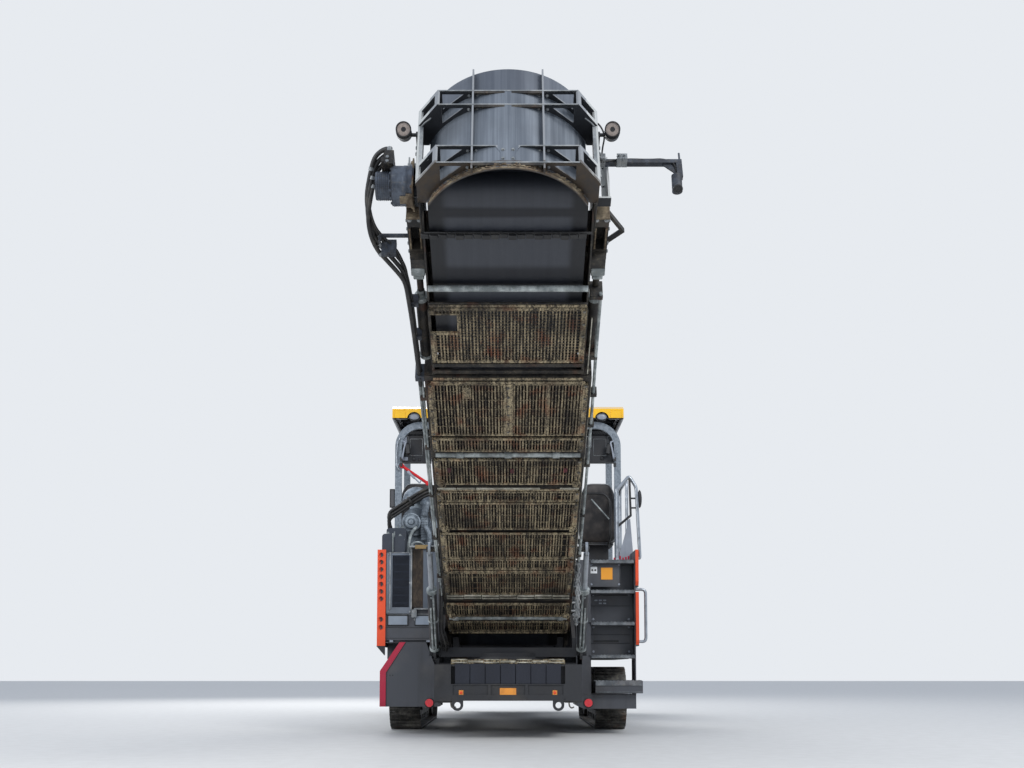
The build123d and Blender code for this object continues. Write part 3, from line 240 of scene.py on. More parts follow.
def dusty_paint(name, colour, rough=0.42, dust=0.35, streaks=0.25, **sockets):
    """Paint whose colour goes towards dust with the upward facing and a fractal mask, and towards grime in patches
    and in streaks that are noise stretched along Z."""
    grime = tone(38, 34, 30)
    paint = Finish(name, rough=rough, **sockets)
    patches = paint.noise(1.7, 7.0).step(0.46, 0.74)
    runs = paint.noise(14.0, 3.0, (1, 1, 0.05)).step(0.5, 0.78)
    lying = paint.up.step(0.35, 0.9) * (paint.noise(5.0, 6.0) * 0.7 + 0.3) * dust
    film = paint.noise(3.1, 8.0).step(0.45, 0.8) * dust * 0.35
    paint.feed(Base_Color=paint.mix(patches * 0.3, colour, grime), Roughness=(patches + lying) * 0.3 + rough)
    paint.over((runs * streaks, grime), (lying + film, tone(150, 140, 124)))
    paint.bump(paint.noise(85.0, 2.0) * 0.5 + paint.noise(9.0, 4.0), 0.0012, 0.25)
    return paint


def grimy_steel(name, dark, light, metallic=0.1, rough=0.62, rusty=0.5, crumbs=tone(150, 138, 112)):
    """Steel whose colour runs from dark to light by two fractal masks, with rust in small patches."""
    steel = Finish(name, metallic=metallic, rough=rough)
    crust = steel.noise(6.5, 10.0, rough=0.7).step(0.4, 0.66)
    flecks = steel.noise(38.0, 8.0, rough=0.75).step(0.52, 0.72)
    rust = steel.noise(4.0, 8.0).step(0.56, 0.7) * rusty
    steel.feed(Base_Color=steel.mix(crust, dark, light), Roughness=flecks * 0.25 + rough)
    steel.over((rust, tone(96, 58, 36)), (flecks * 0.35, crumbs))
    steel.bump(crust + steel.noise(30.0, 6.0), 0.003, 0.5)
    return steel


def crusted(name, dark, light, rust, share):
    """Dried mix on slats: light and dark by noise stretched along the conveyor, rust by a mask of large patches."""
    crust = Finish(name, rough=0.8)
    streaks = crust.noise(30.0, 8.0, (0.12, 1.0, 1.0), 0.7, crust.tilted())
    lumps = crust.noise(70.0, 6.0, rough=0.7)
    crust.feed(Base_Color=crust.mix((streaks * 0.5 + lumps * 0.5).step(0.42, 0.60), dark, light),
               Roughness=lumps * 0.2 + 0.68)
    crust.over((crust.noise(5.5, 6.0).step(0.5, 0.72) * share, rust),
               (crust.noise(2.3, 5.0).step(0.46, 0.70) * 0.7, tone(30, 26, 22)))
    crust.bump(lumps + streaks, 0.003, 0.6)
    return crust


def coat(finish, *nodes):
    """Gives nodes of the frame one finish in all their material slots."""
    for node in nodes:
        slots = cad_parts[node].data.materials
        slots.clear()
        slots.append(finish.material)


charcoal, orange = tone(72, 74, 79), tone(226, 78, 34)
panel_paint = dusty_paint("charcoal_panels", charcoal)
coat(panel_paint, "rear_fenders", "engine_housing", "tank_housing", "ladder", "hopper_wing_left",
     "hopper_wing_right", "hopper_sill", "door_left_front", "door_right_front", "door_right_rear")
frame_paint = dusty_paint("black_chassis", tone(40, 41, 44), rough=0.5, dust=0.3)
coat(frame_paint, "main_frame", "feed_trough", "fuel_tank", "platform", "push_beam", "slew_ring",
     "engine_block", "seat_bases", "lift_barrel_left", "lift_barrel_right")
crimson = dusty_paint("crimson_edge", tone(186, 28, 62), rough=0.35, dust=0.2, streaks=0.1)
coat(crimson, "fender_edge")
box_black = dusty_paint("rounded_boxes", tone(48, 54, 64), rough=0.5, dust=0.2)
coat(box_black, "service_boxes")
deep_black = dusty_paint("shadow_black", tone(22, 24, 29), rough=0.6, dust=0.12, streaks=0.1)
coat(deep_black, "console", "turntable", "foot_hopper")
white_plate = dusty_paint("blank_plate", tone(150, 156, 166), rough=0.3, dust=0.15, streaks=0.1)
red_paint = dusty_paint("red_lever", tone(206, 22, 30), rough=0.35, dust=0.1, streaks=0.05)

# Door edges: the left rear door's turned-in rear edge and the guard beside the
# ladder are painted orange; their faces are charcoal like the other panels.
edge_paint = dusty_paint("orange_edges", orange, rough=0.35, dust=0.12, streaks=0.12)
half_orange = dusty_paint("orange_edge_grey_face", charcoal)
half_orange.over((half_orange.x < -0.708, orange))
coat(half_orange, "door_left_rear", "ladder_guard")

# Roof: a yellow moulded shell with a glossy gel coat, dark grey on its faces that point
# down within the shell's span.
roof_gel = dusty_paint("yellow_gel_coat", tone(250, 192, 6), rough=0.22, dust=0.12, streaks=0.06, Coat_Weight=0.4)
roof_gel.over(((roof_gel.up < 0.2) * (roof_gel.x > 0.806) * (roof_gel.x < 2.595)
               * (roof_gel.y ** 2.0 < 1.4645 ** 2), tone(34, 36, 42)))
coat(roof_gel, "roof")

# Cooler: pale grey paint, near black on its core behind its fins, and a brown mesh on the
# side of its deflector.
cooler_paint = dusty_paint("cooler_grey", tone(104, 112, 122), rough=0.45, dust=0.2)
cooler_paint.over(((cooler_paint.x > -0.7235) * (cooler_paint.y > 1.119), tone(20, 24, 32)),
                  ((cooler_paint.part(cooler_paint.facing, 1) > 0.3) * (cooler_paint.y < 1.10), tone(46, 41, 38)))
coat(cooler_paint, "cooler")

# Blank signs: an amber square and a white plate.
sign_finish = dusty_paint("blank_signs", tone(140, 150, 162), rough=0.3, dust=0.12, streaks=0.1)
on_panel = sign_finish.z > 1.70
sign_finish.over((on_panel * (sign_finish.y < -1.03), tone(236, 158, 44)),
                 (on_panel * (sign_finish.y > -1.03) * (sign_finish.y < -0.5), tone(226, 228, 228)))
coat(sign_finish, "signs")

# Crusted steel of the conveyor and of the tracks: black paint under tar, soot
# and dried mix, or iron that is bright where it runs and brown between.
tar_black = grimy_steel("tarred_frame", tone(26, 25, 25), tone(66, 61, 54))
coat(tar_black, "conveyor_frame_lower", "conveyor_frame_upper", "head_beams")
drive_grey = grimy_steel("drive_housing", tone(44, 47, 53), tone(78, 84, 94), metallic=0.2, rusty=0.15)
coat(drive_grey, "belt_drive", "camera_arm")
cast_grey = grimy_steel("cast_housings", tone(92, 100, 108), tone(150, 160, 168), metallic=0.25, rough=0.5,
                        rusty=0.1, crumbs=tone(70, 72, 74))
coat(cast_grey, "exhaust")
track_iron = grimy_steel("track_iron", tone(46, 45, 43), tone(112, 109, 102), metallic=0.35, rough=0.55)
coat(track_iron, "track_left", "track_right", "track_carriages")
worn_steel = grimy_steel("roller_steel", tone(80, 78, 74), tone(140, 136, 128), metallic=0.6, rough=0.45)
coat(worn_steel, "push_roller_left", "push_roller_right")
gap_dark = grimy_steel("gap_shade_sheet", tone(14, 14, 16), tone(38, 34, 30), rough=0.8, rusty=0.6,
                       crumbs=tone(84, 60, 44))
pale_tube = grimy_steel("pale_cross_tubes", tone(112, 118, 118), tone(186, 192, 190), metallic=0.25, rusty=0.15)
pale_bead = grimy_steel("pale_beads", tone(128, 124, 110), tone(206, 202, 186), metallic=0.15, rusty=0.15)
edge_grey = grimy_steel("polished_edge", tone(120, 124, 126), tone(168, 170, 170), metallic=0.45, rough=0.45,
                        rusty=0.1)
mouth_rust = grimy_steel("rusty_mouth", tone(70, 56, 42), tone(150, 136, 112), rough=0.75, rusty=0.7)
drum_grey = grimy_steel("drive_drum", tone(58, 64, 74), tone(92, 100, 112), metallic=0.25, rough=0.45, rusty=0.08)
mesh_brown = grimy_steel("dusty_mesh", tone(58, 50, 44), tone(98, 84, 70), rough=0.7, rusty=0.3)
tread_grey = grimy_steel("scuffed_treads", tone(84, 88, 92), tone(136, 140, 142), metallic=0.3, rough=0.5,
                         rusty=0.15)
slat_crust = crusted("crusted_slats", tone(34, 29, 24), tone(168, 152, 122), tone(120, 62, 32), 0.6)
rim_crust = crusted("crusted_rims", tone(42, 36, 28), tone(178, 162, 130), tone(120, 66, 34), 0.5)
tag_red = crusted("crusted_tags", tone(44, 28, 28), tone(124, 44, 54), tone(96, 40, 40), 0.5)
coat(slat_crust, "guards")

# Tubes: zinc-coated roof hoops, bright handrails and hard-chromed rods.
zinc = Finish("zinc_coat", metallic=0.35, rough=0.5)
spangle = zinc.node("ShaderNodeSeparateColor", {}, {0: zinc.cells(55.0, "Color")})
zinc.feed(Base_Color=zinc.mix(spangle, tone(104, 112, 120), tone(140, 148, 155)), Roughness=spangle * 0.2 + 0.4)
coat(zinc, "roof_hoops")
bright = mottled("bright_tube", tone(166, 171, 176), tone(118, 121, 123), 12.0, 6.0, (0.4, 0.8), metallic=0.8,
                 rough=0.3)
coat(bright, "handrails", "lift_rod_left", "lift_rod_right")

# Mouldings, lenses, plates, hoses and leather.
black_plastic = mottled("black_moulding", tone(24, 24, 26), tone(48, 47, 46), 4.0, 6.0, (0.4, 0.7),
                        grain=(300.0, 2.0, 0.0004, 0.4))
coat(black_plastic, "head_lamps", "roof_lamps", "seats", "head_hoses")
red_glass = mottled("red_lens", tone(214, 20, 34), tone(236, 46, 60), 90.0, 1.0, rough=0.12, Coat_Weight=0.5)
coat(red_glass, "tail_lamps")
curtain = mottled("rubber_curtain", tone(10, 14, 26), tone(34, 38, 50), 6.0, stretch=(1, 1, 0.2),
                  grain=(30.0, 3.0, 0.003, 0.4))
fin_dark = mottled("fin_dark", tone(22, 28, 40), tone(52, 58, 70), 11.0, metallic=0.4)
brass = mottled("brass_strip", tone(120, 98, 64), tone(168, 142, 96), 9.0, metallic=0.5, rough=0.4)
lens_brown = Finish("lamp_lens", rough=0.15, Coat_Weight=0.6)
ridge = lens_brown.noise(60.0, 2.0)
lens_brown.feed(Base_Color=lens_brown.mix(ridge, tone(112, 96, 86), tone(170, 158, 148)),
                Roughness=ridge * 0.2 + 0.1)
hose_black = Finish("hose_black", rough=0.48)
wrap = hose_black.noise(120.0, 3.0)
hose_black.feed(Base_Color=hose_black.mix(hose_black.noise(9.0, 6.0).step(0.5, 0.75) * 0.7 + wrap * 0.2,
                                          tone(22, 22, 24), tone(78, 74, 66)), Roughness=wrap * 0.3 + 0.35)
hose_black.bump(wrap, 0.0006, 0.4)
amber = Finish("amber_plate", rough=0.3, Coat_Weight=0.3)
facets = amber.cells(160.0)
amber.feed(Base_Color=amber.mix(amber.noise(14.0, 5.0).step(0.4, 0.75) * 0.6, tone(232, 150, 52), tone(170, 104, 44)),
           Roughness=facets * 0.3 + 0.2)
amber.bump(facets, 0.001, 0.3)
seat_leather = Finish("seat_leather", rough=0.55)
seat_leather.feed(Base_Color=seat_leather.mix(seat_leather.noise(7.0, 6.0).step(0.35, 0.75), tone(34, 32, 32),
                                              tone(72, 66, 62)), Roughness=seat_leather.noise(12.0, 4.0) * 0.25 + 0.4)
seat_leather.bump(seat_leather.cells(230.0) + seat_leather.noise(20.0, 5.0), 0.0012, 0.35)

# Belts: black rubber, polished by what it carries, with soft lengthwise bands that vary its roughness and are painted
# sheen, lighter and bluer, in its colour; light scuffs along it.
rubber = Finish("belt_rubber", rough=0.42)
bands = rubber.noise(9.0, 3.0, (0.02, 1, 0.02))
scuffs = rubber.noise(60.0, 6.0, (0.1, 1, 0.1)).step(0.55, 0.85)
rubber.feed(Base_Color=rubber.mix(scuffs * 0.3 + bands * 0.3, tone(13, 14, 18), tone(42, 46, 56)),
            Roughness=bands * 0.35 + 0.28)
rubber.bump(rubber.noise(220.0, 2.0), 0.0008, 0.3)
coat(rubber, "feed_belt", "conveyor_drums", "feed_drums", "hopper_apron")


def along_conveyor(finish):
    """The readings s and n of a finish's place in the raised conveyor's own axes."""
    dx, dz = finish.x - hinge_x, finish.z - hinge_z
    return dz * math.sin(incline) - dx * math.cos(incline), dx * math.sin(incline) + dz * math.cos(incline)


# The discharge conveyor's belt: grey-black satin rubber with lengthwise streaks, near-black blue bands across its
# underside near the head that are painted shade between the bands of its sheen, and blue-black towards its edges.
belt_skin = Finish("belt_with_painted_shade_bands", rough=0.36)
belt_along, belt_up = along_conveyor(belt_skin)
band = belt_along + (belt_skin.noise(3.0, 4.0, (1, 0.15, 1)) * 0.06 - 0.03)
# Painted shade: near-black blue bands across the belt's underside near the head drum.
painted_shade_bands = (band.step(5.58, 5.66) * band.step(5.88, 5.80) + band.step(6.30, 6.34) * band.step(6.43, 6.39)
              + band.step(6.52, 6.58)) * (belt_up < 0.0)
streaked = belt_skin.noise(26.0, 5.0, (0.06, 1, 0.06))
belt_skin.feed(Base_Color=belt_skin.mix(streaked * 0.5, tone(60, 63, 70), tone(34, 37, 46)),
               Roughness=streaked * 0.25 + 0.30)
belt_skin.over((painted_shade_bands * 0.95, tone(3, 6, 18)), ((belt_skin.y ** 2.0).step(0.168, 0.221) * 0.9, tone(5, 7, 14)))
belt_skin.bump(belt_skin.noise(220.0, 2.0), 0.0008, 0.3)
coat(belt_skin, "conveyor_belt")

# Discharge hood: rolled plate, blue-grey, streaked downwards by hot mix, with lighter grey welded rings whose sides
# carry a painted highlight and whose undersides carry painted shade; painted shade also darkens the inside of the
# hood.
hood_s, hood_r = 6.309, 0.604
hood_steel = Finish("streaked_hood", metallic=0.3, rough=0.5)
hood_along, hood_up = along_conveyor(hood_steel)
from_axis = ((hood_along - hood_s) ** 2.0 + hood_steel.y ** 2.0) ** 0.5
on_ring = from_axis > hood_r
wash = hood_steel.noise(34.0, 4.0, (1, 1, 0.02), place=hood_steel.tilted())
broad = hood_steel.noise(4.0, 3.0, (1, 1, 0.15), place=hood_steel.tilted())
facing_n = hood_steel.node("ShaderNodeVectorMath", {"operation": "DOT_PRODUCT"},
                           {0: hood_steel.facing, 1: (math.sin(incline), 0.0, math.cos(incline))}, out="Value")
hood_steel.feed(Base_Color=hood_steel.mix((wash * 0.5 + broad * 0.5).step(0.32, 0.68), tone(86, 93, 102),
                                          tone(130, 137, 145)), Roughness=wash * 0.25 + 0.38)
hood_steel.over((hood_steel.noise(3.1, 6.0).step(0.42, 0.72) * 0.25, tone(60, 62, 66)),
                ((hood_up > 0.41) * 0.55, tone(66, 70, 80)),
                (on_ring * 0.85, tone(146, 148, 150)),
                # Painted highlight on the rings' sides, then painted shade under the rings and inside the hood.
                ((hood_steel.y ** 2.0 > 0.281) * on_ring * 0.7, tone(204, 205, 200)),
                ((facing_n < -0.5) * on_ring, tone(44, 46, 50)),
                ((from_axis < 0.596) * (hood_along > 5.72) * 0.8, tone(30, 31, 35)),
                ((hood_up < -0.262) * (hood_steel.noise(18.0, 6.0).step(0.35, 0.65) * 0.5 + 0.5) * 0.85,
                 tone(72, 60, 46)))
hood_steel.bump(hood_steel.noise(40.0, 4.0) + wash, 0.0012, 0.25)
coat(hood_steel, "discharge_hood")

# ---------------------------------------------------------------------------
# Shapes: blocks, tubes, turned bodies and strips, and how they become pieces.
up_way, down_way, front_way, back_way, left_way = (0, 0, 1), (0, 0, -1), (1, 0, 0), (-1, 0, 0), (0, 1, 0)


def blocks(rows):
    """Straight blocks from rows of (x0, x1, y0, y1, z0, z1): corner = low + (high - low) * (0 or 1 on each axis)."""
    rows = np.asarray(rows, float).reshape(-1, 6)
    low, high = np.minimum(rows[:, 0::2], rows[:, 1::2]), np.maximum(rows[:, 0::2], rows[:, 1::2])
    corner = np.array([[x, y, z] for x in (0, 1) for y in (0, 1) for z in (0, 1)])
    six = np.array([[0, 1, 3, 2], [4, 6, 7, 5], [0, 4, 5, 1], [2, 3, 7, 6], [0, 2, 6, 4], [1, 5, 7, 3]])
    points = low[:, None] + (high - low)[:, None] * corner
    return points.reshape(-1, 3), [(six + 8 * np.arange(len(rows))[:, None, None]).reshape(-1, 4)]


def frame_rows(row, **bars):
    """Rows of a flat frame that fills a block's row: bars of the given width at both ends of each axis named."""
    places = [(2 * "xyz".index(axis), wide) for axis, wide in bars.items()]
    return [(*row[:i], low, high, *row[i + 2:]) for i, wide in places
            for low, high in ((row[i], row[i] + wide), (row[i + 1] - wide, row[i + 1]))]


def skin(rings, loop=False, caps=True):
    """Faces round bodies, from their rings of points shaped (bodies, rings, sides, 3) or less: each ring is joined to
    the next, in a loop the last one to the first, and else caps close both ends."""
    rings = np.asarray(rings, float)
    rings = rings.reshape(-1, *rings.shape[-3:])
    bodies, count, sides = rings.shape[:3]
    first = count * sides * np.arange(bodies)[:, None, None]
    i, j = np.meshgrid(np.arange(count - (not loop)), np.arange(sides), indexing="ij")
    here, after, k = i * sides, (i + 1) % count * sides, (j + 1) % sides
    faces = [np.stack([here + j, here + k, after + k, after + j], -1).reshape(-1, 4)]
    if caps and not loop:
        faces.append(np.stack([np.arange(sides), (count - 1) * sides + np.arange(sides)[::-1]]))
    return rings.reshape(-1, 3), [(first + group).reshape(-1, group.shape[1]) for group in faces]


def joined(*shapes):
    """Several shapes, or lists of block rows, as one: each one's corner numbers are moved on by the count of the
    corners before it."""
    shapes = [blocks(shape) if isinstance(shape, list) else shape for shape in shapes]
    start = np.cumsum([0] + [len(points) for points, _ in shapes])
    return (np.concatenate([points for points, _ in shapes]),
            [face + start[i] for i, (_, faces) in enumerate(shapes) for face in faces])


def mirrored(shape):
    """A shape's mirror image, y to -y."""
    return shape[0] * (1, -1, 1), shape[1]


def raised(shape):
    """A shape of the level conveyor, as (s, y, n) with s up along it, tilted by the incline a about its hinge:
    x = hinge_x - s cos a + n sin a, z = hinge_z + s sin a + n cos a."""
    points, faces = shape
    s, y, n = np.asarray(points, float).T
    a = incline
    return np.stack([hinge_x - s * np.cos(a) + n * np.sin(a), y, hinge_z + s * np.sin(a) + n * np.cos(a)], -1), faces


def across_path(along, near):
    """Unit directions square to a path at each of its points, by the cross product with a direction near them."""
    side = np.cross(along, near)
    return side / np.linalg.norm(side, axis=-1, keepdims=True)


def headings(path):
    """The path's unit direction at each of its points."""
    along = np.gradient(path, axis=0)
    return along / np.linalg.norm(along, axis=1, keepdims=True)


def circle(sides):
    """Angles of that many sides."""
    return np.arange(sides) * 2 * np.pi / sides


def tube(path, radius, sides=12):
    """A round tube: ring i is path[i] + radius[i] (u cos t + v sin t), with u and v square to the path."""
    path = np.asarray(path, float)
    along = headings(path)
    u = across_path(along, np.linalg.svd(path - path.mean(0))[2][-1])
    v = np.cross(along, u)
    t = circle(sides)[:, None]
    radius = np.broadcast_to(np.asarray(radius, float), len(path))[:, None, None]
    return skin(path[:, None] + radius * (np.cos(t) * u[:, None] + np.sin(t) * v[:, None]))


def turned(profile, centres, axis, sides=20, hollow=False):
    """Bodies of revolution from (height along the axis, radius) rows about each centre, hollow ones from a closed
    row."""
    axis = np.asarray(axis, float) / np.linalg.norm(axis)
    u = across_path(axis, (0.13, 0.31, 0.94))
    v = np.cross(axis, u)
    height, radius = np.asarray(profile, float).T[..., None, None]
    t = circle(sides)[:, None]
    ring = np.cos(t) * u + np.sin(t) * v
    centres = np.asarray(centres, float).reshape(-1, 1, 1, 3)
    return skin(centres + height * axis + radius * ring, hollow)


def bolts(centres, axis, radius=0.011, height=0.008):
    """Hexagon heads on washers, all along one axis."""
    profile = [(0, radius * 1.5), (height * 0.25, radius * 1.5), (height * 0.25, radius), (height * 0.85, radius),
               (height, radius * 0.85)]
    return turned(profile, centres, axis, 6)


def prism(x0, x1, outline):
    """A plate between x0 and x1 with an outline of (y, z) points."""
    return skin([[(x, y, z) for y, z in outline] for x in (x0, x1)])


def eased(points, steps=6):
    """A smooth line through points by the Catmull-Rom blend of each four neighbours."""
    p = np.asarray(points, float)
    p = np.concatenate([2 * p[:1] - p[1:2], p, 2 * p[-1:] - p[-2:-1]])
    t = (np.arange(steps) / steps)[None, :, None]
    a, b, c, d = (p[i:len(p) - 3 + i, None] for i in range(4))
    line = 0.5 * (2 * b + (c - a) * t + (2 * a - 5 * b + 4 * c - d) * t ** 2 + (3 * b - a - 3 * c + d) * t ** 3)
    return np.concatenate([line.reshape(-1, p.shape[1]), p[-2:-1]])


def bent(points, reach, steps=6):
    """A line with rounded corners: at each corner b, (1-t)^2 a + 2t(1-t) b + t^2 c, with a and c that far from b."""
    p = np.asarray(points, float)
    corner = p[1:-1]

    def towards(other):
        far = np.linalg.norm(other - corner, axis=1, keepdims=True)
        return corner + (other - corner) / far * np.minimum(reach, 0.45 * far)

    a, c = towards(p[:-2]), towards(p[2:])
    t = np.linspace(0, 1, steps)[None, :, None]
    rounds = (1 - t) ** 2 * a[:, None] + 2 * t * (1 - t) * corner[:, None] + t ** 2 * c[:, None]
    return np.concatenate([p[:1], rounds.reshape(-1, 3), p[-1:]])


def curved(points, steps=10):
    """The points of a smooth line that a quadratic B-spline draws through a row of control points."""
    line = bpy.data.curves.new("line", "CURVE")
    line.dimensions = "3D"
    spline = line.splines.new("NURBS")
    spline.points.add(len(points) - 1)
    for knot, point in zip(spline.points, points):
        knot.co = (*point, 1)
    spline.order_u, spline.use_endpoint_u, spline.resolution_u = 3, True, steps
    holder = bpy.data.objects.new("line", line)
    mesh = bpy.data.meshes.new_from_object(holder)
    path = np.zeros(3 * len(mesh.vertices))
    mesh.vertices.foreach_get("co", path)
    bpy.data.meshes.remove(mesh)
    bpy.data.objects.remove(holder)
    bpy.data.curves.remove(line)
    return path.reshape(-1, 3)


def hoses(*lines):
    """Tubes along smooth lines, from rows of (control points, steps between them, radius, sides)."""
    return joined(*[tube(curved(points, steps), radius, sides) for points, steps, radius, sides in lines])


def put(name, finish, body, slot, *shapes, bevel=0.0, both=False):
    """One piece of the scene: a mesh at the origin with its finish, riding on a body if one is given. With both,
    the shapes also have their mirror images."""
    points, faces = joined(*shapes)
    if both:
        points, faces = joined((points, faces), mirrored((points, faces)))
    if body == "level conveyor":
        body, (points, faces) = "conveyor", raised((points, faces))
    mesh = bpy.data.meshes.new(name)
    mesh.from_pydata(points.tolist(), [], [side for group in faces for side in group.tolist()])
    outward = bmesh.new()
    outward.from_mesh(mesh)
    bmesh.ops.recalc_face_normals(outward, faces=outward.faces)
    outward.to_mesh(mesh)
    outward.free()
    mesh.polygons.foreach_set("use_smooth", [True] * len(mesh.polygons))
    mesh.set_sharp_from_angle(angle=math.radians(38))
    mesh.materials.append(finish.material)
    piece = linked(name, mesh)
    if bevel:
        edge = piece.modifiers.new("edge", "BEVEL")
        edge.width, edge.segments, edge.limit_method = bevel, 1, "ANGLE"
    if body:
        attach(piece, body)
    return piece


def put_level(name, finish, slot, *shapes, **how):
    """A piece on the conveyor, from shapes of the level conveyor."""
    return put(name, finish, "level conveyor", slot, *shapes, **how)


def put_fixed(name, finish, slot, *shapes, **how):
    """A piece on the chassis."""
    return put(name, finish, "chassis", slot, *shapes, **how)


def pairs(ends):
    """Each two neighbours of a row."""
    return list(zip(ends[:-1], ends[1:]))


# ---------------------------------------------------------------------------
# Guards under the belt: slats along the conveyor in frames that are screwed to
# its bottom flanges, crusted with dried mix, and wires across the upper guard.
# guard_n and upper_n are the guards' upper faces, guard_t is their depth.
chance = np.random.default_rng(11)
slat_pitch, slat_half, guard_n, guard_t = 0.026, 0.0062, -0.2103, 0.022
guard_low = guard_n - guard_t
guard_spans = np.array([(0.218, 0.440), (0.566, 0.834), (1.050, 1.506), (1.566, 1.763), (1.783, 2.252),
                        (2.325, 2.790), (2.812, 2.978), (3.092, 3.484), (3.604, 3.800), (3.839, 4.550)])
across = np.arange(-23, 24) * slat_pitch
slat_s0, slat_y = np.meshgrid(guard_spans[:, 0], across, indexing="ij")
slat_s1 = np.repeat(guard_spans[:, 1:], len(across), 1)
slat_w = slat_half * chance.uniform(0.8, 1.25, slat_y.shape)
slat_y = slat_y + chance.uniform(-0.0018, 0.0018, slat_y.shape)
slat_n = guard_n - guard_t * 0.5 + chance.uniform(-0.002, 0.002, slat_y.shape)
slat_rows = np.stack([slat_s0 + 0.02, slat_s1 - 0.02, slat_y - slat_w, slat_y + slat_w, slat_n - 0.010,
                      slat_n + 0.008], -1)
kept = chance.random(slat_rows.shape[:2]) > 0.012

# The upper guard has a notch at its left, framed by its own strips.
upper_s0, upper_s1, upper_n, notch_s0, notch_s1, notch_y = 4.800, 5.442, -0.2003, 5.159, 5.364, 0.385
upper_low = upper_n - guard_t
upper_y = across[np.abs(across) < 0.545]
upper_rows = [(a, b, y - 0.0058, y + 0.0058, upper_n - 0.020, upper_n - 0.004) for y in upper_y for a, b in (
    ((upper_s0 + 0.02, notch_s0 - 0.01), (notch_s1 + 0.01, upper_s1 - 0.02)) if y > notch_y - 0.015
    else ((upper_s0 + 0.02, upper_s1 - 0.02),))]
slats = put_level("guard_slats", slat_crust, "guard_brown", blocks(slat_rows[kept]), upper_rows, bevel=0.0015)
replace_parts(slats, "guards")
rim_rows = [row for s0, s1 in guard_spans
            for row in frame_rows((s0, s1, -0.65, 0.65, guard_low, guard_n), x=0.020, y=0.044)]
rim_rows += frame_rows((upper_s0, upper_s1, -0.595, 0.595, upper_low, upper_n), x=0.03)
rim_rows += [(s0, s1, y, y + 0.045, upper_low, upper_n) for s0, s1, y in (
    (upper_s0, notch_s0, 0.55), (notch_s1, upper_s1, 0.55), (upper_s0, upper_s1, -0.595))]
rim_rows += [(notch_s0 - 0.018, notch_s1 + 0.018, notch_y - 0.018, notch_y, upper_low - 0.002, upper_n)]
rim_rows += [(s, s + 0.018, notch_y, 0.56, upper_low - 0.002, upper_n) for s in (notch_s0 - 0.018, notch_s1)]
rim_rows += [(s0, s1, y0, y1, guard_low - deep, guard_n - 0.002) for s0, s1, y0, y1, deep in (
    (3.845, 4.545, -0.042, 0.038, 0.004), (3.85, 4.54, -0.345, -0.315, 0.003), (4.36, 4.50, 0.30, 0.36, 0.003))]
put_level("guard_rims", rim_crust, "guard_brown", rim_rows, bevel=0.002)
wire_rows = [(s, s + 0.005, -0.57, notch_y - 0.01 if notch_s0 - 0.02 <= s <= notch_s1 + 0.02 else 0.57,
              upper_n - 0.011, upper_n - 0.006) for s in np.arange(4.85, 5.42, 0.034)]
wire_rows += [(s, s + 0.007, -0.60, 0.60, guard_n - 0.010, guard_n - 0.004) for s0, s1 in guard_spans
              for s in np.linspace(s0, s1, max(2, int((s1 - s0) / 0.11)) + 1)[1:-1]]
put_level("guard_wires", slat_crust, "guard_brown", wire_rows)

# A dark sheet above the guards, painted shade that shows between the slats, with rusty flecks.
put_level("guard_liner", gap_dark, "grimy_frame", [(0.19, 4.60, -0.628, 0.628, -0.2065, -0.2025)])

# Tubes across the conveyor, pressed strips at the guards' joints and the beaded
# bar at its foot, as (s, half length, n, radius) and (s, half length, n).
cross_tubes = [tube([(s, -half, n), (s, half, n)], r) for s, half, n, r in (
    (0.498, 0.632, -0.205, 0.0255), (3.530, 0.632, -0.205, 0.0255), (5.648, 0.588, -0.216, 0.0235))]
collar_places = [(s, y, -0.205) for s, y in ((3.53, 0.0), (3.53, -0.42), (3.53, 0.42), (0.498, 0.56), (0.498, -0.56))]
put_level("cross_tubes", pale_tube, "light_grey", *cross_tubes,
          turned([(-0.03, 0.034), (0.03, 0.034)], collar_places, left_way))
put_level("cross_strips", rim_crust, "guard_brown",
          [(s - 0.012, s + 0.012, -half, half, n - 0.012, n) for s, half, n in (
              (4.62, 0.60, -0.232), (4.575, 0.62, -0.232), (2.795, 0.63, -0.232), (1.545, 0.64, -0.233),
              (0.87, 0.64, -0.233), (5.475, 0.585, -0.224), (3.80, 0.62, -0.232), (3.02, 0.63, -0.232),
              (0.205, 0.64, -0.232), (2.268, 0.63, -0.232))], bevel=0.003)
foot_s, foot_n = -0.47, -0.218
put_level("foot_beads", rim_crust, "guard_brown",
          [(foot_s - 0.02, foot_s + 0.016, a + 0.004, b - 0.004, foot_n - 0.028 - 0.006 * (i % 2), foot_n - 0.002)
           for i, (a, b) in enumerate(pairs(np.linspace(-0.63, 0.63, 9)))], bevel=0.004)

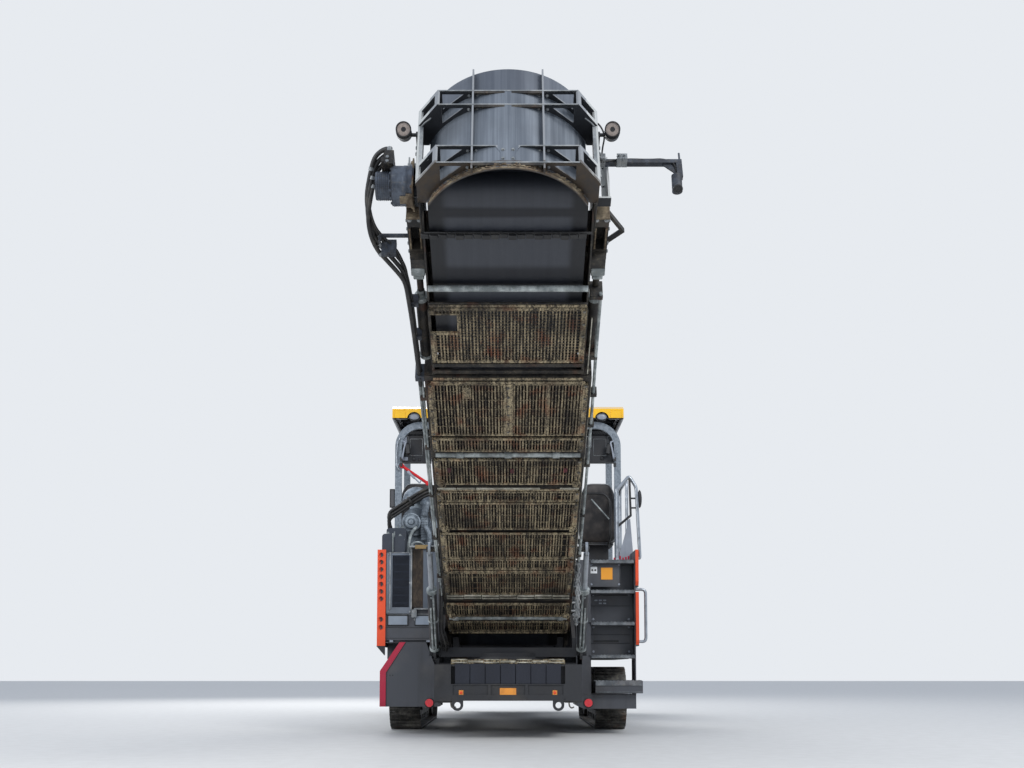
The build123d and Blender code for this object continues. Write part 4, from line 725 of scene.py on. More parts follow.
# Screws of the guards and flanges, and the round knobs with bent handles that
# lock the guards' corners.
screw_s = [s for s0, s1 in guard_spans for s in np.linspace(s0 + 0.03, s1 - 0.03, max(2, int((s1 - s0) / 0.16) + 1))]
put_level("guard_screws", worn_steel, "roller_steel",
          bolts([(s, y, guard_low) for s in screw_s for y in (-0.63, 0.63)], down_way, 0.010, 0.010),
          bolts([(s, -0.002, guard_low - 0.004) for s in np.linspace(3.9, 4.5, 6)], down_way, 0.009),
          bolts([(s, y, -0.198) for s in np.arange(0.3, 4.6, 0.24) for y in (-0.66, 0.66)], up_way, 0.010, 0.012),
          bolts([(s, -0.573, upper_low) for s in np.linspace(4.84, 5.40, 5)], down_way, 0.009))
knobs = [(s, y) for s in (0.62, 1.60, 2.36, 3.13) for y in (-0.605, 0.605)]
put_level("guard_knobs", rim_crust, "guard_brown",
          turned([(0, 0.030), (0.012, 0.034), (0.018, 0.022), (0.032, 0.022), (0.036, 0.014)],
                 [(s, y, guard_low) for s, y in knobs], down_way, 16),
          *[tube(eased([(s + 0.05, y - 0.02, -0.236), (s + 0.02, y - 0.045, -0.262), (s - 0.03, y - 0.03, -0.262),
                        (s - 0.045, y + 0.02, -0.238)], 5), 0.005, 8) for s, y in knobs])

# Pale beaded bars of short clamped lengths that stand alternately high and low:
# one across the foot of the guards, and one above the rear curtain.
foot_y = pairs(np.linspace(0.64, -0.64, 8))
foot_rows = [(s0 + 0.007 * (i % 2), s1 + 0.007 * (i % 2), b + 0.004, a - 0.004, -0.247, -0.2325)
             for i, (a, b) in enumerate(foot_y) for s0, s1 in ((0.984, 0.995), (1.034, 1.047))]
foot_rows += [(0.984, 1.047, y - 0.010, y - 0.004, -0.247, -0.2325) for y, _ in foot_y]
foot_rows += [(3.038, 3.052, a, b, -0.246, -0.233) for a, b in ((0.470, 0.640), (0.300, 0.462), (-0.290, 0.290),
                                                                (-0.470, -0.640))]
put_level("foot_bars", pale_bead, "light_grey", foot_rows, bevel=0.002)
curtain_y = enumerate(pairs(np.linspace(0.5925, -0.5925, 8)))
put_fixed("curtain_bars", pale_bead, "light_grey",
          [(-1.704, -1.690, b + 0.004, a - 0.004, z0 - 0.006 * (i % 2), z1 - 0.006 * (i % 2))
           for i, (a, b) in curtain_y
           for z0, z1 in (((0.806, 0.826),) if i % 2 else ((0.795, 0.806), (0.826, 0.836)))], bevel=0.002)
put_level("guard_tags", tag_red, "red_lens",
          [(s - 0.034, s + 0.030, y - 0.018, y + 0.016, -0.238, -0.230)
           for s, y in ((3.331, 0.522), (3.315, -0.035), (3.331, -0.508))], bevel=0.004)
put_level("worn_edge", pale_bead, "light_grey", [(0.18, 4.60, -0.6735, -0.666, -0.2065, -0.196),
                                                 (4.60, 5.30, -0.640, -0.632, -0.200, -0.190)], bevel=0.001)

# ---------------------------------------------------------------------------
# Fixings of the hood: screws through the rings beside its ribs, the nose plate's
# four screws, thin stays at the corner posts and the rolled rim at its mouth.
ring_n = (-0.287, -0.133, 0.265, 0.401)
put_level("ring_bands", edge_grey, "hood_grey",
          [(6.900, 6.9115, y0, y1, n, n + 0.010) for n, y0, y1 in (
              (-0.287, -0.465, 0.465), (0.265, -0.465, 0.465), (0.401, -0.465, 0.465), (-0.133, -0.465, -0.082),
              (-0.133, 0.082, 0.465))], bevel=0.001)
put_level("ring_shadows", tar_black, "grimy_frame",
          [(6.895, 6.9085, -0.234, 0.234, n - 0.018, n - 0.0002) for n in (0.265, 0.401, -0.287)])
ring_screws = np.array([(s, y + dy, n) for n in ring_n for y in (-0.236, 0.236) for dy in (-0.028, 0.028)
                        for s in (6.872, 6.838)])
put_level("hood_screws", edge_grey, "hood_grey", bolts(ring_screws + (0, 0, 0.010), up_way, 0.008, 0.010),
          bolts([(6.909, y, n) for y in (-0.033, 0.033) for n in (-0.247, -0.165)], front_way, 0.0085, 0.009),
          bolts(ring_screws - (0, 0, 0.001), down_way, 0.008, 0.010))
put_level("hood_cheeks", tar_black, "hood_grey",
          [(6.58, 6.722, 0.580, 0.590, -0.123, 0.265), (6.34, 6.575, 0.589, 0.5965, -0.325, -0.088)], both=True)
put_level("hood_stays", edge_grey, "hood_grey",
          *[tube([(6.728, 0.592, n), (6.76, 0.565, m), (6.80, 0.520, m)], 0.006, 8)
            for n, m in ((-0.12, -0.128), (0.255, 0.262))],
          [(6.72, 6.735, 0.573, 0.597, -0.123, 0.262)], bevel=0.002, both=True)


def arc_strip(radius, width, low, high, half_angle, count=48):
    """A strip on the hood's wall: points (hood_s + r cos t, r sin t, n) for r in radius, radius + width and n in low,
    high."""
    t = np.linspace(-half_angle, half_angle, count)
    corners = [(radius, low), (radius + width, low), (radius + width, high), (radius, high)]
    return skin(np.stack([np.stack([hood_s + r * np.cos(t), r * np.sin(t), np.full(count, n)], -1)
                          for r, n in corners], 1))


put_level("hood_rim", mouth_rust, "rusty_plate", arc_strip(0.5995, 0.007, -0.3375, -0.326, math.radians(62)),
          arc_strip(0.5995, 0.004, -0.312, -0.306, math.radians(60)), bevel=0.001)
crumb_t = chance.uniform(-1.0, 1.0, 260)
crumb_n = chance.uniform(-0.333, -0.292, 260)
half = chance.uniform(0.003, 0.009, 260)
crumb_s, crumb_y = hood_s + 0.602 * np.cos(crumb_t), 0.602 * np.sin(crumb_t)
put_level("hood_crumbs", mouth_rust, "rusty_plate",
          blocks(np.stack([crumb_s - half * 0.5, crumb_s + half * 0.6, crumb_y - half, crumb_y + half,
                           crumb_n - half * 0.7, crumb_n + half * 0.6], -1)), bevel=0.001)

# Scraper under the belt's return run: a row of worn rubber blocks on a bar.
scraper_s = 6.178
put_level("belt_scraper", black_plastic, "black_rubber",
          [(scraper_s - 0.02 + 0.004 * (i % 2), scraper_s + 0.022, y + 0.002, y + 0.059,
            -0.222 - 0.006 * (i * 7 % 3), -0.189) for i, y in enumerate(np.arange(-0.55, 0.55, 0.0611))],
          [(scraper_s + 0.012, scraper_s + 0.03, -0.585, 0.585, -0.212, -0.198)], bevel=0.003)

# ---------------------------------------------------------------------------
# Belt drive at the head's left: flanged gearbox and motor with cooling ribs,
# pipe fittings on the manifold, and hoses clamped at both ends.
drive_s, drive_n = 6.400, 0.040
drive_centre = (drive_s, 0, drive_n)
drum = turned([(0.655, 0.0), (0.655, 0.140), (0.676, 0.140), (0.676, 0.1365), (0.690, 0.1365), (0.694, 0.1385),
               (0.716, 0.1385), (0.720, 0.1365), (0.770, 0.1365), (0.778, 0.1375), (0.792, 0.1375), (0.801, 0.128),
               (0.802, 0.10)], drive_centre, left_way, 48)
motor_ribs = [(y + dy, r) for y in np.arange(0.815, 0.900, 0.014)
              for dy, r in ((0, 0.0952), (0, 0.0985), (0.006, 0.0985), (0.006, 0.0952))]
put_level("drive_drum", drum_grey, "drive_grey", drum,
          bolts([(drive_s + 0.118 * math.cos(t), 0.802, drive_n + 0.118 * math.sin(t)) for t in circle(12)],
                left_way, 0.009, 0.010))
put_level("drive_motor", drum_grey, "drive_grey",
          turned([(0.803, 0.09), *motor_ribs, (0.912, 0.0952), (0.915, 0.080), (0.915, 0.0)], drive_centre,
                 left_way, 40))
put_level("torque_arm", mouth_rust, "drive_grey",
          [(6.30, 6.53, 0.646, 0.657, -0.105, 0.175), (6.36, 6.46, 0.652, 0.700, -0.128, -0.094),
           (6.385, 6.44, 0.700, 0.742, -0.118, -0.096)],
          bolts([(s, 0.657, n) for s in (6.32, 6.51) for n in (-0.08, 0.15)], left_way, 0.012, 0.012), bevel=0.003)

# The three drive hoses run side by side, 46 mm apart. Rows in mm are the first
# one's way from (6400, 800, 0), and the others hang lower by their number.
hose_rows = np.array([(130, 20, 233), (130, 20, 275), (100, 80, 285), (60, 135, 255), (-20, 165, 180),
                      (-140, 198, 95), (-250, 190, 20), (-360, 150, -30), (-440, 80, -62), (-530, 15, -80),
                      (-630, -43, -95), (-830, -55, -105), (-1050, -65, -105), (-1540, -78, -105),
                      (-1830, -84, -105)], float)
order_of = np.arange(len(hose_rows))
hose_ways = [curved(np.stack([6400 + hose_rows[:, 0] - 46 * i, 800 + hose_rows[:, 1] - 3 * i * (order_of > 1),
                              hose_rows[:, 2] - 14 * i * np.clip(order_of - 1, 0, 3)], -1) / 1000)
             for i in range(3)]
thin_way = [(6.46, 0.842, 0.232), (6.47, 0.85, 0.29), (6.43, 0.905, 0.27), (6.34, 0.962, 0.17), (6.22, 0.985, 0.06),
            (6.10, 0.955, -0.03), (6.02, 0.890, -0.07), (5.93, 0.80, -0.09), (5.75, 0.742, -0.13),
            (5.45, 0.715, -0.15), (4.95, 0.705, -0.160), (4.60, 0.70, -0.160)]
drive_hoses = put_level("drive_hoses", hose_black, "hose_rubber", *[tube(way, 0.0165) for way in hose_ways],
                        hoses((thin_way, 10, 0.0095, 10)))
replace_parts(drive_hoses, "head_hoses")
put_level("hose_fittings", edge_grey, "drive_grey",
          turned([(0.0, 0.0215), (0.012, 0.0225), (0.014, 0.0195), (0.045, 0.0195), (0.047, 0.0178)],
                 [(6.530 - 0.046 * i, 0.820, 0.228) for i in range(3)], up_way, 16),
          turned([(0, 0.013), (0.03, 0.013), (0.032, 0.011)], (6.46, 0.842, 0.226), up_way, 12),
          turned([(0, 0.019), (0.03, 0.019), (0.034, 0.012), (0.05, 0.012)],
                 [(6.51, 0.83, n) for n in (0.16, 0.12)], front_way, 12),
          *[turned([(-0.012, 0.0195), (0.012, 0.0195)], way[k], way[k + 1] - way[k - 1], 14)
            for way in hose_ways for k in (34, 74)])
put_level("drive_manifold", tar_black, "drive_grey",
          [(6.378, 6.552, 0.788, 0.852, 0.10, 0.2305), (6.40, 6.55, 0.852, 0.872, 0.12, 0.165)],
          bolts([(s, 0.852, n) for s in (6.395, 6.465, 6.535) for n in (0.195, 0.215)], left_way, 0.008),
          bevel=0.004)
put_level("hose_clamps", drive_grey, "grimy_frame",
          [(6.02, 6.05, 0.70, 0.92, -0.075, -0.060), (6.02, 6.05, 0.905, 0.92, -0.13, -0.06),
           (5.97, 6.12, 0.700, 0.712, -0.10, 0.04), (4.560, 4.620, 0.671, 0.745, -0.215, -0.080),
           (5.93, 5.975, 0.80, 0.905, -0.175, -0.045), (5.40, 5.44, 0.672, 0.745, -0.175, -0.078),
           (5.02, 5.06, 0.668, 0.735, -0.175, -0.080)],
          bolts([(4.59, 0.708, -0.215), (5.95, 0.85, -0.175), (5.42, 0.708, -0.175)], down_way, 0.010, 0.010),
          bevel=0.004)

# ---------------------------------------------------------------------------
# Head beams and side posts: screws, slots' edge strips, tension rods' nuts, the
# light blocks at their ends and the brackets of the lamps.
put_level("head_screws", edge_grey, "grimy_frame",
          bolts([(6.435, 0.640, n) for n in (0.10, 0.16, 0.32, 0.38)], left_way, 0.013, 0.010),
          bolts([(6.470, 0.618, n) for n in (0.11, 0.36)], front_way, 0.012, 0.009),
          bolts([(s, 0.709, n) for s in (5.90, 5.98, 6.12, 6.20) for n in (-0.085, 0.035)], left_way, 0.012, 0.010),
          bolts([(s, y, -0.11) for s in (5.875, 6.225) for y in (0.62, 0.69)], down_way, 0.012, 0.010), both=True)
put_level("beam_strips", mouth_rust, "grimy_frame",
          [(5.95, 6.15, 0.612, 0.624, -0.118, -0.108), (5.95, 6.15, 0.688, 0.700, -0.118, -0.108),
           (5.84, 5.86, 0.598, 0.710, -0.112, 0.02), (6.235, 6.255, 0.598, 0.712, -0.114, 0.062)],
          bevel=0.002, both=True)
put_level("takeup_nuts", pale_tube, "cylinder_grey",
          turned([(-0.016, 0.030), (0.016, 0.030)], [(s, 0.655, -0.06) for s in (5.42, 5.455, 5.83)], front_way, 6),
          *[turned([(-deep, 0.052), (deep, 0.052)], (s, 0.655, -0.06), front_way, 24)
            for s, deep in ((5.39, 0.02), (4.72, 0.015))], both=True)
put_level("end_blocks", pale_tube, "light_grey", [(5.755, 5.83, 0.600, 0.702, -0.196, -0.100),
                                                  (5.70, 5.74, 0.612, 0.69, -0.18, -0.10)], bevel=0.006, both=True)
put_level("lamp_brackets", hood_steel, "hood_grey",
          [(6.32, 6.335, 0.652, 0.712, -0.06, 0.34), (6.335, 6.40, 0.690, 0.700, -0.06, 0.33),
           (6.32, 6.40, 0.620, 0.712, -0.074, -0.058)],
          bolts([(6.336, 0.668, n) for n in (0.11, 0.29)], front_way, 0.010), bevel=0.002, both=True)

# Flanges of the conveyor: pale worn edge strips, thin pipes and cables along
# both sides, held by saddles.
put_level("flange_edges", rim_crust, "grimy_frame", [(0.18, 4.60, 0.664, 0.6715, -0.2035, -0.196),
                                                     (0.5, 4.60, 0.664, 0.6715, 0.086, 0.094)],
          bevel=0.001, both=True)
put_level("side_pipes", pale_tube, "galvanised", hoses(
    ([(5.541, -0.690, -0.16), (4.80, -0.692, -0.165), (4.337, -0.700, -0.170), (3.924, -0.702, -0.172),
      (3.327, -0.706, -0.172), (1.757, -0.712, -0.172), (0.95, -0.705, -0.165)], 6, 0.013, 10),
    ([(5.70, -0.655, -0.03), (5.0, -0.69, -0.10), (4.2, -0.705, -0.125), (2.4, -0.712, -0.13), (1.0, -0.70, -0.12)],
     8, 0.010, 8),
    ([(4.60, 0.705, -0.105), (3.9, 0.715, -0.10), (2.6, 0.712, -0.10), (1.3, 0.705, -0.10)], 8, 0.016, 10),
    ([(4.60, 0.715, -0.155), (3.6, 0.712, -0.150), (2.2, 0.710, -0.150), (1.2, 0.705, -0.150)], 8, 0.016, 10),
    ([(4.58, 0.69, -0.185), (3.2, 0.695, -0.182), (1.9, 0.695, -0.182), (0.7, 0.69, -0.176)], 8, 0.009, 8)))
put_level("pipe_saddles", tar_black, "grimy_frame",
          [(s - 0.02, s + 0.02, *sides) for stations, sides in (
              ((0.96, 1.76, 2.50, 3.33, 3.92, 4.34), (-0.728, -0.670, -0.190, -0.105)),
              ((0.9, 1.35, 2.10, 2.85, 3.60, 4.30), (0.670, 0.722, -0.196, -0.080)),
              ((4.80, 5.50), (-0.706, -0.610, -0.178, -0.02))) for s in stations], bevel=0.004)

# Head's right side: lamp cable, camera cable, clamps on the camera arm and the
# camera's dark round lens.
put_level("head_cables", hose_black, "hose_rubber", hoses(
    ([(6.62, -0.56, 0.42), (6.60, -0.585, 0.47), (6.57, -0.64, 0.47), (6.53, -0.68, 0.40), (6.49, -0.655, 0.30),
      (6.47, -0.650, 0.20)], 10, 0.006, 8),
    ([(6.46, -0.66, 0.215), (6.445, -0.80, 0.262), (6.44, -0.98, 0.258), (6.445, -1.10, 0.262), (6.44, -1.18, 0.20),
      (6.43, -1.165, 0.10)], 10, 0.006, 8)))
put_level("camera_clamps", edge_grey, "drive_grey",
          [(6.41, 6.492, y - 0.018, y + 0.018, 0.214, 0.264) for y in (-0.775, -0.812, -0.66)],
          bolts([(6.492, y, 0.24) for y in (-0.775, -0.812)], front_way, 0.009, 0.012), bevel=0.004)
put_level("camera_lens", black_plastic, "black_plastic",
          turned([(0, 0.033), (0.012, 0.034), (0.016, 0.026), (0.010, 0.020), (0.012, 0.0)],
                 (6.461, -1.165, -0.043), (0.17, 0, -0.98), 24))

# Lamps of the head: round bells with a ribbed lens and a bright ring, which face
# back and 10 degrees down, here in the level conveyor's s and n.
bell_turn = math.radians(10) + incline
bell_way, bell_centre = (math.cos(bell_turn), 0, -math.sin(bell_turn)), (6.598, 0.722, 0.373)
put_level("lamp_bells", black_plastic, "black_plastic",
          turned([(-0.030, 0.034), (-0.020, 0.048), (0.036, 0.0545), (0.040, 0.0545), (0.041, 0.047),
                  (0.034, 0.046)], bell_centre, bell_way, 32), both=True)
put_level("lamp_glass", lens_brown, "light_grey",
          turned([(0.030, 0.0), (0.0365, 0.028), (0.034, 0.046), (0.030, 0.046)], bell_centre, bell_way, 32),
          both=True)

# ---------------------------------------------------------------------------
# Rear of the chassis: crossbeam with blank reflecting plates in its recesses,
# lamps in rubber rings, a curtain of rubber flaps and screws.
put_fixed("rear_plates", amber, "white_sign", [(-1.691, -1.685, *sides) for sides in (
    (-0.086, 0.086, 0.452, 0.533), (0.468, 0.516, 0.460, 0.510), (-0.516, -0.468, 0.460, 0.510))], bevel=0.004)
put_fixed("reflector_caps", edge_paint, "red_lens",
          turned([(0.0, 0.016), (0.004, 0.016), (0.006, 0.012), (0.006, 0.0)],
                 [(-1.691, y, 0.485) for y in (-0.492, 0.492)], back_way, 18))
put_fixed("lamp_rings", black_plastic, "black_rubber",
          turned([(0.0, 0.0455), (0.0, 0.056), (0.010, 0.056), (0.014, 0.050), (0.014, 0.0455)],
                 [(-0.698, y, 0.352) for y in (0.885, -0.905)], back_way, 32, True))
put_fixed("rear_bolts", frame_paint, "light_grey",
          bolts([(-1.701, y, 0.425) for y in (-0.595, -0.195, 0.195, 0.595)], back_way, 0.008, 0.006),
          bolts([(-0.6985, y, 0.66) for y in (1.30, 1.33)], back_way, 0.006, 0.003))
put_fixed("rear_curtain", curtain, "black_rubber",
          [(-1.687, -1.681, a + 0.003, b - 0.003, 0.577, 0.790) for a, b in pairs(np.linspace(-0.56, 0.56, 8))],
          bevel=0.001)
put_fixed("rear_beads", rim_crust, "light_grey",
          [(-1.694, -1.672, a + 0.003, b - 0.003, 0.787 + 0.008 * (i % 2), 0.828 + 0.008 * (i % 2))
           for i, (a, b) in enumerate(pairs(np.linspace(-0.60, 0.60, 11)))],
          [(-1.676, -1.655, -0.60, 0.60, 0.779, 0.815)], bevel=0.004)
put_fixed("hook_pins", worn_steel, "light_grey", hoses(*[
    ([(-1.66, y, 0.40), (-1.68, y, 0.36), (-1.70, y - 0.01, 0.335), (-1.69, y - 0.03, 0.322),
      (-1.67, y - 0.05, 0.335)], 10, 0.008, 8) for y in (-0.64, 0.60)]))
# Dark plates at the conveyor's foot and across the openings behind the rear: painted shade that darkens those
# openings.
put_fixed("rear_shade_plates", deep_black, "black_rubber",
          [(-0.165, -0.155, -0.755, 0.765, 0.785, 1.600), (-0.660, -0.650, 0.777, 0.905, 0.735, 0.852),
           (-0.312, -0.304, -0.924, -0.778, 0.450, 1.950), (-0.655, -0.645, -0.770, 0.770, 0.778, 0.800)],
          [(-0.165, -0.155, y, y + 0.055, 0.770, 0.880) for y in (-0.810, 0.755)])
put_fixed("fender_lamps", white_plate, "white_sign",
          [(-0.706, -0.664, y - 0.021, y + 0.021, 1.033, 1.060) for y in (1.318, 0.900)],
          turned([(0.0, 0.012), (0.0, 0.021), (0.012, 0.021), (0.014, 0.012)], (-0.690, 0.850, 0.925), back_way, 16,
                 True), bevel=0.003)

# Cooler at the rear left: a pale frame screwed round a dark core of thin upright
# fins, and a folded deflector with a mesh of brown wire on one face.
put_fixed("cooler_fins", fin_dark, "black_plastic",
          [(-0.7285, -0.7215, y, y + 0.0022, 1.43, 2.01) for y in np.arange(1.122, 1.307, 0.0062)],
          [(-0.7265, -0.7215, 1.119, 1.308, z, z + 0.010) for z in np.arange(1.47, 2.0, 0.088)])
wires = [(-0.710 - 0.150 * share, 1.096 - 0.144 * share) for share in np.linspace(0.06, 0.94, 26)]
put_fixed("deflector_mesh", mesh_brown, "black_plastic",
          [(x - 0.006, x - 0.001, y - 0.0012, y + 0.0022, 1.43, 2.07) for x, y in wires])
put_fixed("cooler_trim", edge_grey, "light_grey",
          [(-0.868, -0.700, 0.800, 1.110, 2.094, 2.112), (-0.872, -0.862, 0.80, 1.05, 1.395, 1.407),
           (-0.745, -0.738, 1.03, 1.09, 1.31, 1.40), (-0.716, -0.709, 0.80, 1.37, 1.345, 1.352),
           (-0.752, -0.740, 1.085, 1.102, 1.40, 2.08), (-0.752, -0.740, 1.326, 1.342, 1.40, 2.05)],
          bolts([(-0.740, y, z) for y in (1.108, 1.352) for z in (1.375, 1.70, 2.025)], back_way, 0.009, 0.007),
          bolts([(-0.710, y, z) for y, z in ((1.05, 1.29), (1.40, 1.10), (0.80, 1.10), (1.40, 1.40))],
                back_way, 0.012), bevel=0.002)
put_fixed("cooler_tag", brass, "light_grey", [(-0.876, -0.866, 0.90, 1.045, 2.075, 2.120)], bevel=0.003)
put_fixed("light_rims", black_plastic, "black_plastic",
          frame_rows((-0.727, -0.709, 1.130, 1.360, 1.220, 1.337), y=0.008, z=0.009),
          frame_rows((-0.727, -0.709, 0.818, 1.053, 1.220, 1.337), y=0.008, z=0.009),
          [(-0.714, -0.709, 0.79, 1.40, z, z + 0.004) for z in (1.195, 1.075)], bevel=0.001)
put_fixed("sign_holes", black_plastic, "black_plastic",
          turned([(0.0, 0.011), (0.003, 0.011), (0.003, 0.0)], [(-0.6575, y, 1.852) for y in (-0.960, -0.995)],
                 back_way, 16))

# ---------------------------------------------------------------------------
# Ladder: pressed treads with saw-toothed pale edges, screwed risers, a sign
# panel's seam, and the rails beside it and on the platform.
tread_z = np.array([1.963, 1.622, 1.260, 0.889])
put_fixed("tread_edges", tread_grey, "light_grey",
          [(-0.722, -0.709, -1.431, -0.939, z - 0.036, z - 0.004) for z in tread_z],
          [(-0.780, -0.768, -1.510, -0.982, 0.545, 0.598), (-0.776, -0.768, -1.510, -0.982, 0.470, 0.478)],
          [(-0.722, -0.50, y + 0.004, y + 0.030, z - 0.004, z + 0.004) for z in tread_z
           for y in np.arange(-1.425, -0.945, 0.040)],
          [(-0.778, -0.60, y, y + 0.030, 0.597, 0.606) for y in np.arange(-1.50, -0.99, 0.042)],
          [(-0.49, -0.47, -1.42, -0.945, z - 0.003, z + 0.002) for z in tread_z[1:]], bevel=0.002)
put_fixed("riser_trim", black_plastic, "black_plastic",
          [(-0.468, -0.460, -1.40, -0.95, z, z + 0.006) for z in (1.02, 1.12, 1.45, 1.57)],
          [(-0.468, -0.460, -1.27, -0.98, 1.035, 1.060)], bevel=0.001)
put_fixed("riser_pads", white_plate, "white_sign",
          [(-0.470, -0.460, y, y + 0.034, z, z + 0.016) for y, z in (
              (-1.13, 1.51), (-1.08, 1.51), (-1.03, 1.51), (-1.13, 1.475), (-1.08, 1.475))],
          bolts([(-0.6505, y, z) for y in (-1.265, -0.95) for z in (1.69, 1.915)], back_way, 0.009, 0.007),
          bolts([(-0.462, y, z) for y in (-1.39, -0.98) for z in (1.30, 1.58, 0.93, 1.21)], back_way, 0.010, 0.007),
          bevel=0.002)
put_fixed("seam_strip", frame_paint, "panel_grey", [(-0.655, -0.6495, -1.279, -1.271, 1.665, 1.938),
                                                    (-0.655, -0.6495, -1.279, -0.94, 1.932, 1.938)], bevel=0.001)
rail_ways = [([(-0.650, -1.249, 1.963), (-0.650, -1.249, 2.773), (-0.650, -1.388, 2.936), (-0.650, -1.468, 2.808),
               (-0.650, -1.505, 1.990), (-0.650, -1.481, 1.990)], 0.035, 0.019),
             ([(-0.100, -1.410, 2.0), (-0.100, -1.410, 2.970), (0.800, -1.410, 2.970), (0.800, -1.410, 2.0)],
              0.09, 0.019),
             ([(0.400, 0.740, 2.0), (0.400, 0.740, 2.910), (0.400, 0.300, 2.910), (0.400, 0.300, 2.126)],
              0.09, 0.019),
             ([(-0.690, -1.481, 1.040), (-0.690, -1.560, 1.040), (-0.690, -1.560, 1.630), (-0.690, -1.446, 1.630)],
              0.05, 0.017)]
rails = put_fixed("rails", bright, "rail_chrome",
                  *[tube(bent(way, reach), radius, 16) for way, reach, radius in rail_ways],
                  turned([(0, 0.034), (0.010, 0.034), (0.012, 0.022), (0.03, 0.020)],
                         [(-0.65, -1.249, 1.963), (-0.1, -1.41, 2.0), (0.8, -1.41, 2.0), (0.4, 0.74, 2.0)],
                         up_way, 18))
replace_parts(rails, "handrails")

# Beside the cab: bars and a mirror on the boarding rail, a tube behind each
# seat, grab handles on the hoops, a box on the left post and a grey side plate.
rail_x = -0.65
put_fixed("rail_bars", black_plastic, "black_plastic",
          *[tube([(rail_x, y0, z0), (x1, y1, z1)], radius, 10) for y0, z0, x1, y1, z1, radius in (
              (-1.392, 2.925, rail_x, -1.404, 2.470, 0.013), (-1.392, 2.677, rail_x, -1.470, 2.677, 0.010),
              (-1.392, 2.567, rail_x, -1.476, 2.567, 0.010), (-1.252, 2.352, rail_x, -1.404, 2.480, 0.014),
              (-1.470, 2.677, -0.625, -1.506, 2.677, 0.008))],
          turned([(0.104 * t, 0.026 * math.sqrt(1 - 0.98 * t * t)) for t in np.linspace(-1, 1, 13)],
                 (-0.622, -1.510, 2.673), up_way, 16))
put_fixed("seat_hoops", black_plastic, "black_plastic",
          tube(bent([(0.985, 0.90, 2.958), (0.985, 1.225, 2.955), (0.985, 1.300, 2.860), (0.985, 1.300, 2.40),
                     (1.10, 1.28, 2.312)], 0.06), 0.014),
          [(0.895, 0.921, 1.340, 1.372, z, z + 0.05) for z in (3.36, 3.29)],
          turned([(0.0, 0.012), (0.015, 0.034), (0.13, 0.030), (0.15, 0.012)], (0.905, 1.268, 3.44),
                 (0, 0.10, 1), 16),
          both=True)
put_fixed("hoop_grips", white_plate, "white_sign",
          tube(bent([(0.925, 1.345, 3.62), (0.885, 1.300, 3.600), (0.885, 1.325, 3.500), (0.885, 1.340, 3.400),
                     (0.925, 1.350, 3.385)], 0.03), 0.011, 10), both=True)
put_fixed("seat_braces", pale_tube, "galvanised",
          tube([(0.972, 1.06, 2.880), (0.972, 1.285, 2.625)], 0.009, 8), both=True)
put_fixed("post_box", panel_paint, "panel_grey", [(0.940, 1.090, 1.436, 1.500, 2.775, 3.000)], bevel=0.008)
put_fixed("post_box_frame", black_plastic, "black_plastic",
          frame_rows((0.934, 0.941, 1.438, 1.502, 2.768, 3.006), y=0.010, z=0.010), bevel=0.001)
put_fixed("side_plate", white_plate, "light_grey",
          prism(-0.130, -0.118, [(-1.300, 2.0), (-1.478, 2.0), (-1.478, 2.10), (-1.448, 2.50), (-1.432, 2.50)]),
          bevel=0.002)
put_fixed("deck_pegs", crimson, "red_paint",
          [(-0.288, -0.272, y - 0.010, y + 0.010, 1.999, 2.028 + 0.010 * (i % 3))
           for i, y in enumerate(np.linspace(-1.245, -1.410, 6))], bevel=0.003)

# Hoses and chains beside the lift cylinders: hydraulic hoses clamped from the
# conveyor to its turntable, and a slack safety chain hung along the right flange.
bundle = [curved([(-1.80, y0, 1.545), (-1.775, y0, 1.42), (-1.74, y1, 1.28), (-1.68, y1, 1.12), (-1.60, y2, 1.00),
                  (-1.50, y2, 0.925)], 8) + (0.022 * (i % 2) - 0.03, 0, 0.012 * i)
          for i, (y0, y1, y2) in enumerate(((0.690, 0.704, 0.655), (0.690, 0.716, 0.680), (0.714, 0.716, 0.705),
                                            (0.700, 0.690, 0.640)))]
turn_hoses = put("turn_hoses", hose_black, None, "hose_rubber",
                 *[tube(way, 0.0125 + 0.0015 * np.sin(np.linspace(0, 160, len(way))), 10) for way in bundle],
                 *[turned([(-0.02, 0.017), (0.02, 0.017)], way[-3], way[-1] - way[-3], 12) for way in bundle])
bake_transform(turn_hoses)


def chain(path, link=0.034, wire=0.0055, sides=6, beads=12):
    """Links along a path, turned by a right angle from one to the next: each is a ring stretched along the path."""
    path = np.asarray(path, float)
    run = np.concatenate([[0], np.cumsum(np.linalg.norm(np.diff(path, axis=0), axis=1))])
    at = np.arange(link, run[-1] - link, link * 1.35)
    centre = np.stack([np.interp(at, run, path[:, i]) for i in range(3)], -1)
    along = headings(centre)
    first = across_path(along, (0.2, 1.0, 0.1))
    second = np.cross(along, first)
    odd = (np.arange(len(at)) % 2)[:, None]
    wide, other = np.where(odd, first, second)[:, None], np.where(odd, second, first)[:, None, None]
    a, b = circle(beads)[:, None], circle(sides)[:, None]
    ring = wide * np.sin(a) * link * 0.42 + along[:, None] * np.cos(a) * link * 0.78
    out = wide * np.sin(a) + along[:, None] * np.cos(a)
    return skin(centre[:, None, None] + ring[:, :, None] + wire * (np.cos(b) * out[:, :, None] + np.sin(b) * other),
                loop=True)


def hung(start, end, sag, count=60):
    """A slack line between two points of the level conveyor, raised with it: their straight line lowered by
    sag (1 - (2t - 1)^2)."""
    start, end = raised((np.array([start, end]), None))[0]
    t = np.linspace(0, 1, count)[:, None]
    return (1 - t) * start + t * end - np.array([0, 0, 1]) * sag * (1 - (2 * t - 1) ** 2)


